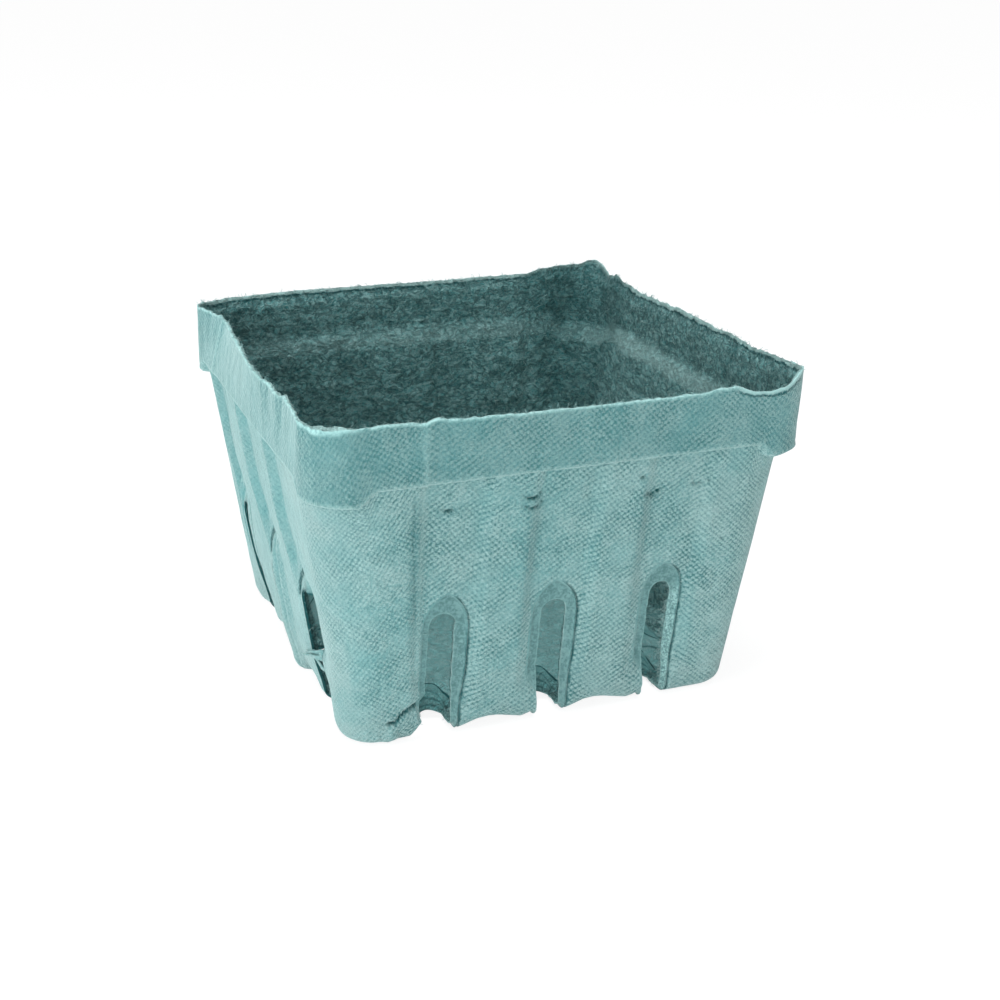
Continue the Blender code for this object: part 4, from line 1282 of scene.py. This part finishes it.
def tuft(starts, pull, spread, lengths, radii, curl):
    """Fibres that set out at random, spread round a pull, with lengths and radii between limits."""
    number = len(starts)
    ways = fibre_rng.normal(size=(number, 3)) * spread + pull
    grow(starts, ways, fibre_rng.uniform(*lengths, number), fibre_rng.uniform(*radii, number), curl)


rim_starts = pick(middle_points, at_rim, RIM_FIBRES)
outward = rim_starts * (1, 1, 0) / np.abs(rim_starts[:, :2]).max(axis=1)[:, None]
tuft(rim_starts, outward * 0.4 + (0, 0, 0.5), 0.8, (0.4, 1.5), (0.04, 0.09), 0.5)
tuft(pick(middle_points, ~at_rim, SLOT_FIBRES), 0, 1, (0.3, 1.2), (0.03, 0.07), 0.5)

middle_x, middle_y, middle_z = middle_points.T
frayed = ~at_rim & (middle_y < -38) & (middle_x > 25) & (middle_x < 29) & (middle_z > 3)
tuft(pick(middle_points, frayed, FRAYED_FIBRES), (-1.0, 0.3, -0.3), 0.5, (0.8, 2.6), (0.04, 0.09), 0.55)
hanging = ~at_rim & (middle_y > -41) & (middle_y < -33) & (middle_z < 5) & (middle_x > 22) & (middle_x < 28)
tuft(pick(middle_points, hanging, HANGING_FIBRES), (0.5, -0.5, -0.5), 0.4, (1.5, 3.5), (0.04, 0.08), 0.4)

torn = np.where(~at_rim & (middle_x < -38) & (middle_y > -31) & (middle_y < -25) & (middle_z > 4))[0]
torn_starts = middle_points[[torn[np.abs(middle_z[torn] - z).argmin()] for z in STRAND_HEIGHTS]]
tuft(torn_starts, (-0.35, 1.0, -0.2), 0.05, (5.5, 7.0), (0.40, 0.55), 0.09)

inside = (felt_points[:len(source), 2] > 12) & (T > T_TOP + 2) & (T < T_SPRING + 8)
inside_starts = pick(felt_points, inside, INSIDE_FIBRES)
inward = -inside_starts * (1, 1, 0) / np.linalg.norm(inside_starts[:, :2], axis=1)[:, None]
tuft(inside_starts + inward * 0.15, inward * 0.2, 1, (1.2, 3.6), (0.04, 0.08), 0.6)

tubes = np.concatenate(fibre_points)
tubes[:, :2] = np.clip(tubes[:, :2], -WIDEST, WIDEST)
tubes[:, 2] = np.clip(tubes[:, 2], 0.02, HIGHEST)
fibre_mesh = bpy.data.meshes.new("loose_fibres")
fibre_mesh.from_pydata((tubes * MM).tolist(), [], fibre_faces)
loose_fibres = bpy.data.objects.new("loose_fibres", fibre_mesh)
bpy.context.scene.collection.objects.link(loose_fibres)
fibre_mesh.shade_smooth()
print("fibres:", len(tubes) // (3 * FIBRE_STEPS + 3))

# %% Colour the fibres
FIBRE_DARK = (0.200, 0.390, 0.390, 1)
FIBRE_PALE = (0.430, 0.610, 0.595, 1)


def fibre_finish():
    """Dyed cotton and wood fibre: a little paler than the sheet, uneven along its length."""
    tree = Tree("pulp_fibre")
    dye = tree.mottle((900, 3, 0.6), 0.3, 0.7)
    tree.colour = tree.mix(dye, FIBRE_DARK, FIBRE_PALE)
    tree.paint(TEAL, tree.mottle((90, 2), 0.4, 0.7, 0.0, 0.5))
    return tree.finish(tree.remap(dye, 0, 1, 0.95, 0.8), [(tree.noise(2600, 2), 0.00004)], 0.5)


fibre_mesh.materials.append(fibre_finish())
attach(loose_fibres, "root")
print("the fibres ride with", loose_fibres.name)

# %% [markdown]
# ## Floor, light and camera
#
# A product photographer stands a basket like this in a white tent. The light comes from all round, a
# little more from the left, so shadows are faint. The floor is plain white. Only the camera sees it at
# full white; its own shading, with the basket's soft shadow, is mixed in underneath.

# %% Build the tent
FLOOR_REACH, FLOOR_SINK = 4.0, 0.00005
FLOOR_GLOW, FLOOR_GLOW_SHARE, TENT_LIGHT = 1.12, 0.80, 0.46
WHITE = (1, 1, 1, 1)
LAMPS = [
    # name, place and target in metres, side of the square, power in watts
    ("left_softbox", (-0.80, -0.22, 0.42), (0, 0, 0.03), 0.5, 3.2),
    ("top_softbox", (-0.10, -0.10, 0.95), (0, 0, 0.0), 0.4, 5.0),
    ("low_softbox", (-0.40, -0.75, 0.12), (0, 0, 0.02), 0.4, 3.0),
]


def white_floor():
    """A large plain floor that stays white and keeps a shadow."""
    mesh = bpy.data.meshes.new("studio_floor")
    square = [(-1, -1), (1, -1), (1, 1), (-1, 1)]
    mesh.from_pydata([(x * FLOOR_REACH, y * FLOOR_REACH, -FLOOR_SINK) for x, y in square], [], [(0, 1, 2, 3)])
    plane = bpy.data.objects.new("studio_floor", mesh)
    bpy.context.scene.collection.objects.link(plane)
    tree = Tree("studio_floor")
    tree.put(tree.shader.inputs["Base Color"], (0.90, 0.90, 0.90, 1))
    tree.put(tree.shader.inputs["Roughness"], 0.9)
    glow = tree.fill(tree.node("ShaderNodeEmission"), (WHITE, FLOOR_GLOW))
    rays = tree.node("ShaderNodeLightPath").outputs
    seen = tree.math("MAXIMUM", rays["Is Camera Ray"], rays["Is Glossy Ray"])
    blend = (tree.times(seen, FLOOR_GLOW_SHARE), tree.shader.outputs[0], glow)
    surface = tree.fill(tree.node("ShaderNodeMixShader"), blend)
    tree.put(tree.tree.nodes["Material Output"].inputs["Surface"], surface)
    mesh.materials.append(tree.material)


def white_world(strength):
    """Even light from all round; the camera sees plain white."""
    world = bpy.data.worlds.new("studio_tent")
    bpy.context.scene.world = world
    world.use_nodes = True
    nodes, links = world.node_tree.nodes, world.node_tree.links
    background = nodes["Background"]
    background.inputs["Color"].default_value = WHITE
    rays = nodes.new("ShaderNodeLightPath")
    by_ray = nodes.new("ShaderNodeMapRange")
    by_ray.inputs["To Min"].default_value = strength
    by_ray.inputs["To Max"].default_value = 1.0
    links.new(rays.outputs["Is Camera Ray"], by_ray.inputs["Value"])
    links.new(by_ray.outputs[0], background.inputs["Strength"])


def softbox(name, place, target, size, power):
    """One square area lamp that faces a point."""
    lamp = bpy.data.lights.new(name, "AREA")
    lamp.size = size
    lamp.energy = power
    made = bpy.data.objects.new(name, lamp)
    made.location = place
    made.rotation_euler = (Vector(target) - Vector(place)).to_track_quat("-Z", "Y").to_euler()
    bpy.context.scene.collection.objects.link(made)


white_floor()
white_world(TENT_LIGHT)
for lamp in LAMPS:
    softbox(*lamp)

# %% Place the camera
CAMERA_PLACE = (-0.12603, -0.32204, 0.16857)
CAMERA_TARGET = (0.005858, 0.0, 0.033522)
CAMERA_ROLL = radians(1.072)
CAMERA_LENS = 56.38

camera_data = bpy.data.cameras.new("camera")
camera_data.lens = CAMERA_LENS
camera_data.sensor_width = 36.0
camera_data.clip_start = 0.01
camera = bpy.data.objects.new("camera", camera_data)
facing = (Vector(CAMERA_TARGET) - Vector(CAMERA_PLACE)).normalized()
level = facing.cross(Vector((0, 0, 1))).normalized()
upright = level.cross(facing)
right = level * cos(CAMERA_ROLL) + upright * sin(CAMERA_ROLL)
up = right.cross(facing)
camera.matrix_world = Matrix.Translation(CAMERA_PLACE) @ Matrix((right, up, -facing)).transposed().to_4x4()
bpy.context.scene.collection.objects.link(camera)
bpy.context.scene.camera = camera
bpy.context.scene.view_settings.view_transform = "Standard"
print("camera at", [round(c, 4) for c in camera.location])
